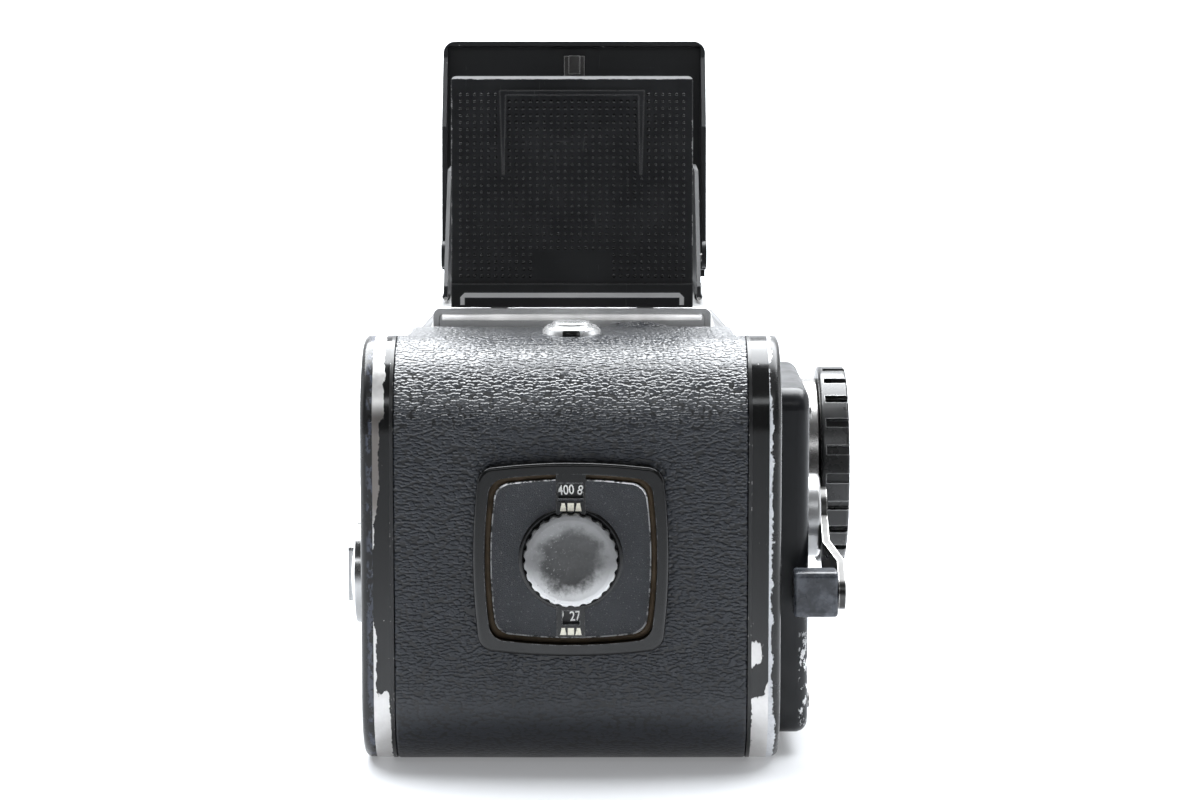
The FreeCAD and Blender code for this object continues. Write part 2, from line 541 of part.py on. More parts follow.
def hood_lid():
    """A shallow pan, drawn upright and then leaned forward about its hinge."""
    inner_y = HOOD_LID_AXIS.y - LID_OFFSET
    outer_y = inner_y - THIN
    low_z = 98.8
    pan = block((-LID_HALF, LID_HALF), (outer_y, inner_y + 11), (low_z, LID_TOP))
    pan = rounded(pan, 3.0, lambda edge: along(edge, Y_AXIS) and edge.BoundBox.ZMin > 150)
    pan = rounded(pan, 0.9, lambda edge: edge.BoundBox.YMax < outer_y + 0.01)
    wall = 1.1
    inside_half = LID_HALF - wall
    hollow = block((-inside_half, inside_half), (inner_y, inner_y + 12), (low_z - 1, LID_TOP - wall))
    lip_y = (inner_y + 2.2, inner_y + 12)
    above_lip = block((-LID_HALF - 1, LID_HALF + 1), lip_y, (LID_TOP - 4, LID_TOP + 1))
    slope = prism_x(
        [(inner_y + 2.2, LID_TOP - 4), (inner_y + 12, LID_TOP - 4), (inner_y + 12, LID_TOP - 24)],
        -LID_HALF - 1,
        LID_HALF + 1,
    )
    foot = block((-LID_HALF - 1, LID_HALF + 1), (inner_y, inner_y + 12), (low_z - 1, HOOD_LID_AXIS.z - 3))
    pan = pan.cut([hollow, above_lip, slope, foot])
    lid = [pan]
    for side in (-1, 1):
        x = sorted((side * (LID_HALF - wall), side * LID_HALF))
        ear = block(x, (inner_y + 1, HOOD_LID_AXIS.y + 2.6), (HOOD_LID_AXIS.z - 2.6, HOOD_LID_AXIS.z + 4))
        ear = rounded(ear, 2.4, lambda edge: along(edge, X_AXIS) and edge.BoundBox.YMin > -41)
        lid.append(ear)
    for side in (-1, 1):
        x = sorted((side * 13.6, side * 15.6))
        lid.append(block(x, (inner_y, inner_y + 3.6), (121.6, 126.4)))
    strip = block((-5.5, 5.5), (inner_y, inner_y + 0.5), (127, 156.4))
    lid.append(strip)
    lid = fuse(*lid)
    hinge_hole = rod(Vector(-40, HOOD_LID_AXIS.y, HOOD_LID_AXIS.z), X_AXIS, 1.0 + RUN, 80)
    swing_hole = rod(Vector(-16, inner_y + 2.2, 124), X_AXIS, 0.6 + RUN, 32)
    lid = lid.cut([hinge_hole, swing_hole])
    keep("hood_lid", turned(lid, HOOD_LID_AXIS, X_AXIS, LID_LEAN))

    catch = block((-2.6, 2.6), (inner_y + 0.55, inner_y + 1.5), (148.5, 154.6))
    tooth = block((-1.4, 1.4), (inner_y + 1.5, inner_y + 2.9), (150, 154.6))
    keep("hood_latch", turned(fuse(catch, tooth), HOOD_LID_AXIS, X_AXIS, LID_LEAN))

    frame = block((-13.4, 13.4), (inner_y + 0.9, inner_y + 3.5), (122.6, 147.5))
    frame = rounded(frame, 4.0, lambda edge: along(edge, Y_AXIS) and edge.BoundBox.ZMin > 140)
    window = rod(Vector(0, inner_y, 135.6), Y_AXIS, 10.6, 5)
    frame = frame.cut(window)
    trunnion = rod(Vector(-15.5, inner_y + 2.2, 124), X_AXIS, 0.6, 31)
    frame = fuse(frame, trunnion)
    keep("magnifier_frame", turned(frame, HOOD_LID_AXIS, X_AXIS, LID_LEAN))
    lens = rod(Vector(0, inner_y + 1.3, 135.6), Y_AXIS, 10.6, 1.8)
    lens = rounded(lens, 0.6, lambda edge: edge.Length > 60)
    keep("magnifier_lens", turned(lens, HOOD_LID_AXIS, X_AXIS, LID_LEAN))


def hood_rear_panel():
    """Drawn upright and leaned forward. The ribs stand proud of its rear face."""
    axis = HOOD_REAR_AXIS
    half = 0.8
    plate = block((-REAR_HALF, REAR_HALF), (axis.y - half, axis.y + half), (axis.z + 1.6, REAR_TOP))
    plate = rounded(plate, 1.2, lambda edge: along(edge, Y_AXIS) and edge.BoundBox.ZMin > 140)
    knuckles = []
    for low, high in ((-26.5, -19.3), (-14.7, 14.7), (19.3, 26.5)):
        barrel = rod(Vector(low, axis.y, axis.z), X_AXIS, 1.2, high - low)
        web = block((low, high), (axis.y - 0.6, axis.y + 0.6), (axis.z, axis.z + 1.8))
        knuckles += [barrel, web]
    apron_y = (axis.y + 1.35, axis.y + 1.95)
    apron = block((-REAR_HALF, REAR_HALF), apron_y, (axis.z - 3.3, axis.z + 2.2))
    step = block((-REAR_HALF, REAR_HALF), (axis.y, apron_y[1]), (axis.z + 1.6, axis.z + 2.2))
    bar_y = (apron_y[0], apron_y[1] + 0.6)
    bar_top = axis.z + 0.1
    bar = block((-24.4, 24.4), bar_y, (bar_top - 1.1, bar_top))
    end_outline = (
        (24.4, 0.0), (25.0, 0.0), (26.0, -1.0), (26.0, -2.8), (25.0, -2.8), (25.0, -1.1), (24.4, -1.1)
    )
    ends = [
        prism_y([(side * x, bar_top + drop) for x, drop in end_outline], *bar_y)
        for side in (-1, 1)
    ]
    proud = (axis.y + half, axis.y + half + 0.7)
    top_rib = block((-16.8, 16.8), proud, (146.4, 147.5))
    leg_outline = ((15.4, 147.5), (16.8, 147.5), (16.2, 128), (15.8, 128))
    legs = [prism_y([(side * x, z) for x, z in leg_outline], *proud) for side in (-1, 1)]
    panel = fuse(plate, apron, step, bar, top_rib, *(knuckles + ends + legs))
    panel = panel.cut(rod(Vector(-30, axis.y, axis.z), X_AXIS, 0.6 + RUN, 60))
    keep("hood_rear_panel", turned(panel, axis, X_AXIS, REAR_LEAN))


def hood_side_flaps():
    """Each flap is cut back at 45 degrees behind, to fold under the rear panel."""
    rear = HOOD_REAR_AXIS.y
    front = -37.5
    for name, side in (("hood_side_left", 1), ("hood_side_right", -1)):
        x = side * FLAP_AXIS_X
        top = FLAP_AXIS_Z + FLAP_HEIGHT
        outline = [
            (front, FLAP_AXIS_Z), (rear - 4, FLAP_AXIS_Z), (rear - 4, FLAP_AXIS_Z + 3),
            (rear - 1 - FLAP_HEIGHT, top), (front + 2, top), (front, top - 2),
        ]
        plate = prism_x(outline, x - 0.45, x + 0.45)
        barrel = rod(Vector(x, front + 2.5, FLAP_AXIS_Z), Y_AXIS, 0.9, 44)
        bore = rod(Vector(x, front - 1, FLAP_AXIS_Z), Y_AXIS, 0.45 + RUN, 60)
        keep(name, fuse(plate, barrel).cut(bore))


# ---- lens ---------------------------------------------------------------------------------------------
MOUNT_FRONT = -55.0
BARREL_FRONT = -64.0
RING_SPLIT = -72.0
FOCUS_FRONT = -86.0
LENS_FRONT = -92.0


def lens_tube(outer, inner, y_rear, y_front):
    return tube(Vector(0, y_rear, LENS_Z), Y_AXIS * -1, outer, inner, y_rear - y_front)


def ribs(shape, radius, depth, width, count, y_low, y_high):
    """Cuts count grooves into the outside of a ring about the optical axis."""
    groove = block((radius - depth, radius + 1), (y_low, y_high), (LENS_Z - width / 2, LENS_Z + width / 2))
    centre = Vector(0, 0, LENS_Z)
    return shape.cut([turned(groove, centre, Y_AXIS, 360.0 * number / count) for number in range(count)])


def lens():
    mount = lens_tube(30.0, 23.0, PLATE_FRONT, MOUNT_FRONT)
    spigot = lens_tube(25.95, 23.0, BODY_FRONT, PLATE_FRONT)
    keep("lens_mount_ring", fuse(mount, spigot))

    foot = lens_tube(LENS_RADIUS, 21.0, MOUNT_FRONT, BARREL_FRONT)
    sleeve = lens_tube(24.4, 21.0, BARREL_FRONT, FOCUS_FRONT)
    keep("lens_barrel", fuse(foot, sleeve))

    aperture = lens_tube(28.5, 24.4 + RUN, BARREL_FRONT - GAP, RING_SPLIT)
    keep("aperture_ring", ribs(aperture, 28.5, 0.7, 1.6, 36, RING_SPLIT + 1.5, BARREL_FRONT - 1.5))
    focus = lens_tube(FOCUS_RADIUS, 24.4 + RUN, RING_SPLIT - GAP, FOCUS_FRONT)
    keep("focus_ring", ribs(focus, FOCUS_RADIUS, 1.0, 2.0, 40, FOCUS_FRONT + 2, RING_SPLIT - 2))

    cell = lens_tube(21.0 - RUN, 17.5, BARREL_FRONT, LENS_FRONT)
    nose = lens_tube(29.0, 17.5, FOCUS_FRONT - 0.2, LENS_FRONT)
    thread = lens_tube(27.0, 17.5, LENS_FRONT + 4, LENS_FRONT)
    keep("front_barrel", fuse(cell, nose).cut(thread))

    elements = []
    for radius, y_middle, bulge in ((17.5, -82.0, 3.0), (17.5, -70.0, 2.0)):
        disc = rod(Vector(0, y_middle - 2, LENS_Z), Y_AXIS, radius, 4)
        dome_radius = (radius * radius + bulge * bulge) / (2 * bulge)
        dome = Part.makeSphere(dome_radius, Vector(0, y_middle - 2 - bulge + dome_radius, LENS_Z))
        cap = dome.common(rod(Vector(0, y_middle - 2 - bulge, LENS_Z), Y_AXIS, radius, bulge))
        elements.append(fuse(disc, cap))
    keep("lens_elements", *elements)


# ---- magazine -------------------------------------------------------------------------------------------
def magazine_outline(inset, front):
    """The side view of the magazine as a (y, z) wire at x = 0, with its rounded rear, drawn inset."""
    rear = MAG_REAR - inset
    top = MAG_TOP - inset
    low = FOOT + inset
    top_r = MAG_TOP_RADIUS - inset
    low_r = MAG_LOW_RADIUS - inset
    turn = math.sqrt(0.5)

    def at(y, z):
        return Vector(0, y, z)

    top_mid = at(rear - top_r + top_r * turn, top - top_r + top_r * turn)
    low_mid = at(rear - low_r + low_r * turn, low + low_r - low_r * turn)
    edges = [
        Part.makeLine(at(front, low), at(rear - low_r, low)),
        Part.Arc(at(rear - low_r, low), low_mid, at(rear, low + low_r)).toShape(),
        Part.makeLine(at(rear, low + low_r), at(rear, top - top_r)),
        Part.Arc(at(rear, top - top_r), top_mid, at(rear - top_r, top)).toShape(),
        Part.makeLine(at(rear - top_r, top), at(front, top)),
        Part.makeLine(at(front, top), at(front, low)),
    ]
    return Part.Wire(edges)


def magazine_solid(inset, front, x_low, x_high):
    face = Part.Face(magazine_outline(inset, front))
    face.translate(Vector(x_low, 0, 0))
    return face.extrude(X_AXIS * (x_high - x_low))


def bezel_square(half, bulge, y_low, y_high):
    """A square with rounded corners and gently bowed sides, about the film-speed dial's axis."""
    corner = 4.0
    flat = half - bulge
    run = flat - corner
    diagonal = flat - corner + corner * math.sqrt(0.5)
    edges = []
    for number in range(4):
        angle = math.radians(90 * number)
        cos, sin = math.cos(angle), math.sin(angle)

        def at(u, v):
            return Vector(u * cos - v * sin, y_low, FILM_DIAL_Z + u * sin + v * cos)

        edges.append(Part.Arc(at(flat, -run), at(half, 0), at(flat, run)).toShape())
        edges.append(Part.Arc(at(flat, run), at(diagonal, diagonal), at(run, flat)).toShape())
    return Part.Face(Part.Wire(edges)).extrude(Y_AXIS * (y_high - y_low))


def sloped_corners(shape):
    """Slopes down the magazine's top front corners, to meet the shoulders of the body."""
    start = MAG_REAR - MAG_TOP_RADIUS
    end = MAG_FRONT - 1
    high = MAG_TOP + 3
    outline = [(start, MAG_TOP), (start, high), (end, high), (end, MAG_TOP - CORNER_DROP)]
    wedges = []
    for side in (-1, 1):
        x = sorted((side * CORNER_START, side * (SIDE_HALF + 1)))
        wedges.append(prism_x(outline, *x))
    return shape.cut(wedges)


def magazine_shells():
    rear_pocket = bezel_square(BEZEL_HALF, 1.0, MAG_REAR - LEATHER, MAG_REAR + 1)
    dial_bore = rod(Vector(0, MAG_REAR - 3, FILM_DIAL_Z), Y_AXIS, 2.0 + RUN, 4)
    button_hole = rod(Vector(0, BUTTON_Y, MAG_TOP - 5), Z_AXIS, 4.5 + RUN, 8)
    collar_hole = rod(Vector(0, BUTTON_Y, MAG_TOP - LEATHER), Z_AXIS, 6.2, 3)
    shell = magazine_solid(LEATHER, MAG_SHELL_FRONT, -SHELL_HALF, SHELL_HALF)
    hollow = magazine_solid(LEATHER + 2, MAG_SHELL_FRONT, -SHELL_HALF + 2, SHELL_HALF - 2)
    bead = [
        magazine_solid(0.1, MAG_SHELL_FRONT, *x).cut(magazine_solid(LEATHER, MAG_SHELL_FRONT, *x))
        for x in ((-SHELL_HALF, -LEATHER_HALF), (LEATHER_HALF, SHELL_HALF))
    ]
    key_hole = rod(Vector(SHELL_HALF - 3, KEY_Y, KEY_Z), X_AXIS, 3.0 + RUN, 4)
    pin_holes = [
        rod(Vector(-SHELL_HALF, SPOOL_Y, z), X_AXIS, 1.5 + RUN, 2 * SHELL_HALF)
        for z in (SPOOL_LOW_Z, SPOOL_HIGH_Z)
    ]
    shell = fuse(shell.cut(hollow), *bead)
    keep("magazine_shell", sloped_corners(shell.cut([dial_bore, button_hole, key_hole] + pin_holes)))

    wrap = magazine_solid(0, MAG_SHELL_FRONT, -LEATHER_HALF, LEATHER_HALF)
    inner = magazine_solid(LEATHER, MAG_SHELL_FRONT, -LEATHER_HALF, LEATHER_HALF)
    keep("magazine_leather", sloped_corners(wrap.cut([inner, rear_pocket, collar_hole])))

    bands = []
    covers = []
    for side in (-1, 1):
        x = sorted((side * SHELL_HALF, side * BAND_HALF))
        band = magazine_solid(0.2, MAG_SHELL_FRONT, *x)
        band = band.cut(magazine_solid(4.5, MAG_SHELL_FRONT, *x))
        bands.append(sloped_corners(band))
        x = sorted((side * BAND_HALF, side * SIDE_HALF))
        cover = magazine_solid(0.3, MAG_SHELL_FRONT, *x)
        outer = side * SIDE_HALF
        cover = rounded(
            cover,
            1.8,
            lambda edge: abs(edge.BoundBox.XMin - outer) < 0.01
            and abs(edge.BoundBox.XMax - outer) < 0.01
            and edge.BoundBox.YMax > MAG_SHELL_FRONT + 1,
        )
        cover = cover.cut(rod(Vector(BAND_HALF - 1, KEY_Y, KEY_Z), X_AXIS, 3.0 + RUN, 5))
        covers.append(sloped_corners(cover))
    keep("magazine_bands", *bands)
    keep("magazine_side_covers", *covers)


def magazine_front():
    frame = block((-FRAME_HALF, FRAME_HALF), (MAG_FRONT, MAG_SHELL_FRONT), (FOOT + 1.5, MAG_TOP - 1))
    gate_z = (LENS_Z - GATE_HALF, LENS_Z + GATE_HALF)
    gate = block((-GATE_HALF, GATE_HALF), (MAG_FRONT, MAG_SHELL_FRONT), gate_z)
    slot = block((-33, 47), (21.1, 22.0), (16, 80))
    tab_slot = block((45.5, 47), (MAG_FRONT, 22.8), (33, 63))
    keep("magazine_frame", sloped_corners(frame.cut([gate, slot, tab_slot])))

    sheet = block((-32.5, 46.0), (21.2, 21.9), (16.2, 79.8))
    tab = block((45.7, 49.0), (20.6, 22.5), (34, 62))
    tab = rounded(tab, 0.6, lambda edge: along(edge, Z_AXIS))
    keep("dark_slide", fuse(sheet, tab))


def film_path():
    for name, z in (("supply_spool", SPOOL_LOW_Z), ("takeup_spool", SPOOL_HIGH_Z)):
        core = rod(Vector(-33, SPOOL_Y, z), X_AXIS, 6.0, 66)
        flanges = [rod(Vector(x, SPOOL_Y, z), X_AXIS, 12.5, 1.2) for x in (-33, 31.8)]
        axle = rod(Vector(-39, SPOOL_Y, z), X_AXIS, 1.5, 78)
        keep(name, fuse(core, axle, *flanges))

    low = SPOOL_LOW_Z - 7.2
    high = SPOOL_HIGH_Z + 7.2
    outside = [(40, low), (24.6, 15.5), (24.6, 80.5), (40, high)]
    inside = [(40, high - 0.3), (24.85, 80.2), (24.85, 15.8), (40, low + 0.3)]
    keep("film_strip", prism_x(outside + inside, -30.5, 30.5))
    plate = block((-30, 30), (25.4, 26.8), (17, 79))
    keep("pressure_plate", rounded(plate, 3.0, lambda edge: along(edge, Y_AXIS)))


def film_speed_dial():
    leather_seat = MAG_REAR - LEATHER
    bezel = bezel_square(BEZEL_HALF - 0.1, 1.0, leather_seat, 64.4)
    bezel = rounded(bezel, 0.9, lambda edge: edge.BoundBox.YMin > 64.3)
    opening = bezel_square(PLATE_HALF + 1.3, 0.9, leather_seat - 1, 65)
    keep("film_dial_bezel", bezel.cut(opening))

    plate = bezel_square(PLATE_HALF, 0.8, leather_seat, 62.8)
    disc_pocket = rod(Vector(0, leather_seat, FILM_DIAL_Z), Y_AXIS, 17.4, 0.6)
    windows = [
        block((-half, half), (61, 63), (FILM_DIAL_Z + low, FILM_DIAL_Z + high))
        for half, low, high in ((2.9, 13.6, 17.0), (1.9, -14.8, -11.8))
    ]
    shaft_hole = rod(Vector(0, leather_seat, FILM_DIAL_Z), Y_AXIS, 2.0 + RUN, 3)
    keep("film_dial_plate", plate.cut([disc_pocket, shaft_hole] + windows))

    disc = rod(Vector(0, 61.1, FILM_DIAL_Z), Y_AXIS, 17.2, 0.4)
    keep("number_disc", disc.cut(rod(Vector(0, 61, FILM_DIAL_Z), Y_AXIS, 2.0, 1)))
    knob = rod(Vector(0, 62.9, FILM_DIAL_Z), Y_AXIS, 10.5, 2.6)
    knob = rounded(knob, 0.6, lambda edge: edge.BoundBox.YMin > 65.4)
    flute = rod(Vector(11.1, 62.8, FILM_DIAL_Z), Y_AXIS, 1.05, 4)
    centre = Vector(0, 0, FILM_DIAL_Z)
    flutes = [turned(flute, centre, Y_AXIS, 15.0 * number) for number in range(24)]
    dish = Part.makeSphere(60, Vector(0, 65.5 + 59.3, FILM_DIAL_Z))
    shaft = rod(Vector(0, 59.6, FILM_DIAL_Z), Y_AXIS, 2.0, 3.4)
    keep("film_dial_knob", fuse(knob.cut(flutes + [dish]), shaft))


def magazine_controls():
    head = rod(Vector(0, BUTTON_Y, 91.5), Z_AXIS, 4.5, 4.3)
    keep("magazine_button", rounded(head, 0.7, lambda edge: edge.BoundBox.ZMin > 95))

    disc = rod(Vector(SIDE_HALF + GAP, KEY_Y, KEY_Z), X_AXIS, 11.5, 1.8)
    dome = Part.makeSphere(45, Vector(SIDE_HALF + 3.4 - 45, KEY_Y, KEY_Z))
    dome = dome.common(rod(Vector(SIDE_HALF + GAP, KEY_Y, KEY_Z), X_AXIS, 11.5, 5))
    bail_x = (SIDE_HALF + 2.4, SIDE_HALF + 3.9)
    bail = block(bail_x, (KEY_Y - 2.5, KEY_Y + 2.5), (KEY_Z - 6.4, KEY_Z + 6.4))
    bail = rounded(bail, 1.0, lambda edge: along(edge, X_AXIS))
    shaft = rod(Vector(SHELL_HALF - 1.6, KEY_Y, KEY_Z), X_AXIS, 3.0, 9.0)
    keep("magazine_key", fuse(disc, dome, bail, shaft))


def main():
    body_casting()
    front_plate()
    base_plate()
    tripod_bush()
    side_covers()
    top_cover()
    focusing_unit()
    mirror_unit()
    shutter_unit()
    strap_lugs()
    release_button()
    lens_release_lever()
    winding_housing()
    cover_screws()
    gear_train()
    speed_dial()
    crank()
    finder_base()
    hood_lid()
    hood_rear_panel()
    hood_side_flaps()
    lens()
    magazine_shells()
    magazine_front()
    film_path()
    film_speed_dial()
    magazine_controls()
    os.makedirs("parts", exist_ok=True)
    for name, shape in sorted(PARTS.items()):
        shape.translate(Vector(0, 0, RISE))
        shape.exportStep(os.path.join("parts", name + ".step"))


main()
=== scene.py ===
"""Looks for a medium-format reflex camera: materials, leather, dials, hood texture and small fittings."""

import json
import math

import bmesh
import bpy
import numpy as np
from mathutils import Matrix, Vector


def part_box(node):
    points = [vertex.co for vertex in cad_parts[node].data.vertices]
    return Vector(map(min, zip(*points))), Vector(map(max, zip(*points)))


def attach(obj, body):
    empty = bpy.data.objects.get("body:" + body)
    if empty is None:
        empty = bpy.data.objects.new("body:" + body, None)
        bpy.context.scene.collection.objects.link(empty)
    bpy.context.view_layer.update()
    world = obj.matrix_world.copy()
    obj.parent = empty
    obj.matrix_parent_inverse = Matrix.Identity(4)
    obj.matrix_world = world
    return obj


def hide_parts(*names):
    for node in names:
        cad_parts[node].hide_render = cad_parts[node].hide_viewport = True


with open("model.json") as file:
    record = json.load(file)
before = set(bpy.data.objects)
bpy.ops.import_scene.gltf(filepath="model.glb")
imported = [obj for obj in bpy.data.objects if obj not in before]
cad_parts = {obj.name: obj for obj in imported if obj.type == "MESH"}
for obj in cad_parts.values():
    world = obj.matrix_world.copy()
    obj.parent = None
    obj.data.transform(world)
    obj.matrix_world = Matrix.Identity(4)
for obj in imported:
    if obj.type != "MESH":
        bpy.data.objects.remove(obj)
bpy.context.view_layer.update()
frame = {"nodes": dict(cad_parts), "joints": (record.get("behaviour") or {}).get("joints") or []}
MM = 0.001


def corners(node):
    """The low and high corners of a CAD node, in millimetres."""
    return [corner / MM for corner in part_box(node)]


# Where things are, in millimetres, read from the frame.
LEATHER_LOW, LEATHER_HIGH = corners("magazine_leather")
BEZEL_HIGH = corners("film_dial_bezel")[1]
PLATE_HIGH = corners("film_dial_plate")[1]
DIAL_Z = sum(corners("film_dial_knob"), Vector()).z / 2
BUTTON_Y = sum(corners("magazine_button"), Vector()).y / 2
MAG_REAR = LEATHER_HIGH.y
MAG_TOP = LEATHER_HIGH.z
BAND_OUT = corners("magazine_bands")[1].x


# ---- materials ----
class Shader:
    """A node material built a step at a time. Lengths are in millimetres of the shared frame."""

    def __init__(self):
        self.material = bpy.data.materials.new("look")
        self.material.use_nodes = True
        self.tree = self.material.node_tree
        self.tree.nodes.clear()
        inputs = {0: self.add("ShaderNodeTexCoord").outputs["Object"], "Scale": 1 / MM}
        self.place = self.add("ShaderNodeVectorMath", inputs, operation="SCALE").outputs[0]

    def add(self, kind, inputs=None, **settings):
        """A new node. Each input takes either a value or another node's output."""
        node = self.tree.nodes.new(kind)
        for key, value in settings.items():
            setattr(node, key, value)
        for key, value in (inputs or {}).items():
            if isinstance(value, bpy.types.NodeSocket):
                self.tree.links.new(value, node.inputs[key])
            else:
                node.inputs[key].default_value = value
        return node

    def stretched(self, stretch):
        return self.add("ShaderNodeVectorMath", {0: self.place, 1: stretch}, operation="MULTIPLY").outputs[0]

    def axis(self, letter):
        return self.add("ShaderNodeSeparateXYZ", {0: self.place}).outputs[letter]

    def noise(self, size, detail=3.0, rough=0.5, distort=0.0, stretch=(1, 1, 1)):
        """Noise from 0 to 1 with features of about size millimetres, in detail layers."""
        inputs = {"Vector": self.stretched(stretch), "Scale": 1 / size}
        inputs.update({"Detail": detail, "Roughness": rough, "Distortion": distort})
        return self.add("ShaderNodeTexNoise", inputs).outputs["Fac"]

    def cells(self, size, feature, stretch=(1, 1, 1), jitter=1.0):
        inputs = {"Vector": self.stretched(stretch), "Scale": 1 / size, "Randomness": jitter}
        return self.add("ShaderNodeTexVoronoi", inputs, feature=feature).outputs["Distance"]

    def span(self, value, low, high, out_low=0.0, out_high=1.0):
        """Eases value from low..high to out_low..out_high and holds it there."""
        inputs = {"Value": value, "From Min": low, "From Max": high, "To Min": out_low, "To Max": out_high}
        return self.add("ShaderNodeMapRange", inputs, interpolation_type="SMOOTHSTEP").outputs["Result"]

    def math(self, operation, a, b=0.0):
        return self.add("ShaderNodeMath", {0: a, 1: b}, operation=operation).outputs[0]

    def times(self, first, *others):
        for other in others:
            first = self.math("MULTIPLY", first, other)
        return first

    def plus(self, a, b):
        return self.math("ADD", a, b)

    def minus(self, a, b):
        return self.math("SUBTRACT", a, b)

    def inverse(self, a):
        return self.minus(1.0, a)

    def most(self, a, b):
        return self.math("MAXIMUM", a, b)

    def mix(self, factor, a, b):
        return self.add("ShaderNodeMix", {0: factor, 6: a, 7: b}, data_type="RGBA").outputs[2]

    def edges(self, radius=0.6, low=0.04, high=0.25):
        """1 on the rims of a piece, 0 on its flats."""
        rounded = self.add("ShaderNodeBevel", {"Radius": radius * MM}, samples=4).outputs[0]
        plain = self.add("ShaderNodeNewGeometry").outputs["Normal"]
        dot = self.add("ShaderNodeVectorMath", {0: rounded, 1: plain}, operation="DOT_PRODUCT")
        return self.span(self.inverse(dot.outputs["Value"]), low, high)

    def chips(self, threshold, size):
        """Ragged patches, 1 where paint is gone."""
        return self.span(self.noise(size, 5, 0.62, 0.4), threshold, threshold + 0.03)

    def bumped(self, height, depth=0.1, strength=1.0, under=None):
        """A normal from a height of 0 to 1, depth millimetres tall, over another normal if there is one."""
        inputs = {"Height": height, "Distance": depth * MM, "Strength": strength}
        if under is not None:
            inputs["Normal"] = under
        return self.add("ShaderNodeBump", inputs).outputs[0]

    def finish(self, color, roughness, metallic=0.0, normal=None, **extra):
        inputs = {"Base Color": color, "Roughness": roughness, "Metallic": metallic}
        if normal is not None:
            inputs["Normal"] = normal
        for key, value in extra.items():
            inputs[key.replace("_", " ")] = value
        shader = self.add("ShaderNodeBsdfPrincipled", inputs)
        self.add("ShaderNodeOutputMaterial", {0: shader.outputs[0]})
        return self.material


def grey(value, warm=0.0):
    return (value * (1 + warm), value, value * (1 - warm), 1.0)


def smudges(s, low, high):
    """Roughness that wanders between low and high, with fingerprints and dust."""
    return s.span(s.noise(9, 4, 0.6), 0.35, 0.7, low, high)


def painted(base=0.009, rough=(0.28, 0.42)):
    """Black enamel over bright metal, chipped along its rims."""
    s = Shader()
    bare = s.times(s.edges(0.5), s.chips(0.62, 1.2))
    tone = s.mix(s.noise(14, 4), grey(base * 0.75), grey(base * 1.35))
    metal = s.mix(s.noise(3), grey(0.35, 0.03), grey(0.62, 0.02))
    color = s.mix(bare, tone, metal)
    peel = s.bumped(s.noise(0.5, 1), 0.02, 0.5)
    step = s.bumped(s.inverse(bare), 0.03, 0.8, peel)
    roughness = s.mix(bare, smudges(s, *rough), grey(0.38))
    return s.finish(color, roughness, bare, step, Coat_Weight=0.15, Coat_Roughness=0.2)


def housing_paint():
    """The winding side's gloss enamel, chipped white along its lower rear rim."""
    s = Shader()
    low, high = corners("winding_side_housing")
    rearward = s.span(s.axis("Y"), high.y - 6.0, high.y - 4.0)
    low_down = s.span(s.axis("Z"), low.z + 30.0, low.z + 16.0)
    outward = s.span(s.axis("X"), low.x + 2.4, low.x + 1.8)
    chipped = s.span(s.noise(1.8, 6, 0.7, stretch=(1, 1, 0.6)), 0.54, 0.55)
    bare = s.times(rearward, low_down, outward, chipped)
    tone = s.mix(s.noise(14, 4), (0.0055, 0.006, 0.0075, 1), (0.010, 0.011, 0.013, 1))
    color = s.mix(bare, tone, grey(0.85))
    peel = s.bumped(s.noise(0.5, 1), 0.012, 0.4)
    normal = s.bumped(s.inverse(bare), 0.04, 0.8, peel)
    roughness = s.mix(bare, smudges(s, 0.30, 0.40), grey(0.45))
    return s.finish(color, roughness, 0.0, normal, Specular_IOR_Level=0.35)


def leather_skin():
    """Charcoal leather: rows of small wide pebbles with painted shade in the creases between them, pores,
    rubbed tops, smoother towards the foot.
    """
    s = Shader()
    wander = s.noise(1.6, 2)
    shape = s.cells(0.66, "F1", (0.56, 1.0, 1.0), 0.9)
    domes = s.span(s.plus(shape, s.times(wander, 0.5)), 0.58, 1.02, 1.0, 0.0)
    pores = s.noise(0.28, 3, 0.7)
    tone = s.mix(s.noise(16, 5, 0.6), (0.013, 0.016, 0.022, 1), (0.021, 0.024, 0.031, 1))
    # painted shade: the creases between the pebbles are darkened in colour
    tone = s.mix(s.span(domes, 0.05, 0.4, 0.8, 0.0), tone, grey(0.006))
    dust = s.times(s.span(s.noise(0.45, 4), 0.68, 0.75), 0.10)
    tone = s.mix(dust, tone, grey(0.30))
    fine = s.bumped(pores, 0.04, 0.5)
    foot = s.span(s.axis("Z"), 12.0, 26.0, 0.2, 1.0)
    normal = s.bumped(s.times(domes, foot), 0.18, 1.0, fine)
    polished = s.span(s.axis("Z"), MAG_TOP - 24.0, MAG_TOP - 6.0, 0.55, 1.3)
    return s.finish(tone, smudges(s, 0.28, 0.37), 0.0, normal, Specular_IOR_Level=polished)


def ragged(s, size, reach):
    """A wander of plus or minus about a fifth of reach, for the torn edges of worn paint."""
    wander = s.noise(size, detail=8, rough=0.74, stretch=(1, 1, 0.7))
    return s.times(s.minus(wander, 0.5), reach)


def stepped(s, value, start, steps):
    """start plus each (from, to, rise) step as value passes it, for wear that widens and narrows."""
    total = start
    for low, high, rise in steps:
        total = s.plus(s.span(value, low, high, 0.0, rise), total)
    return total


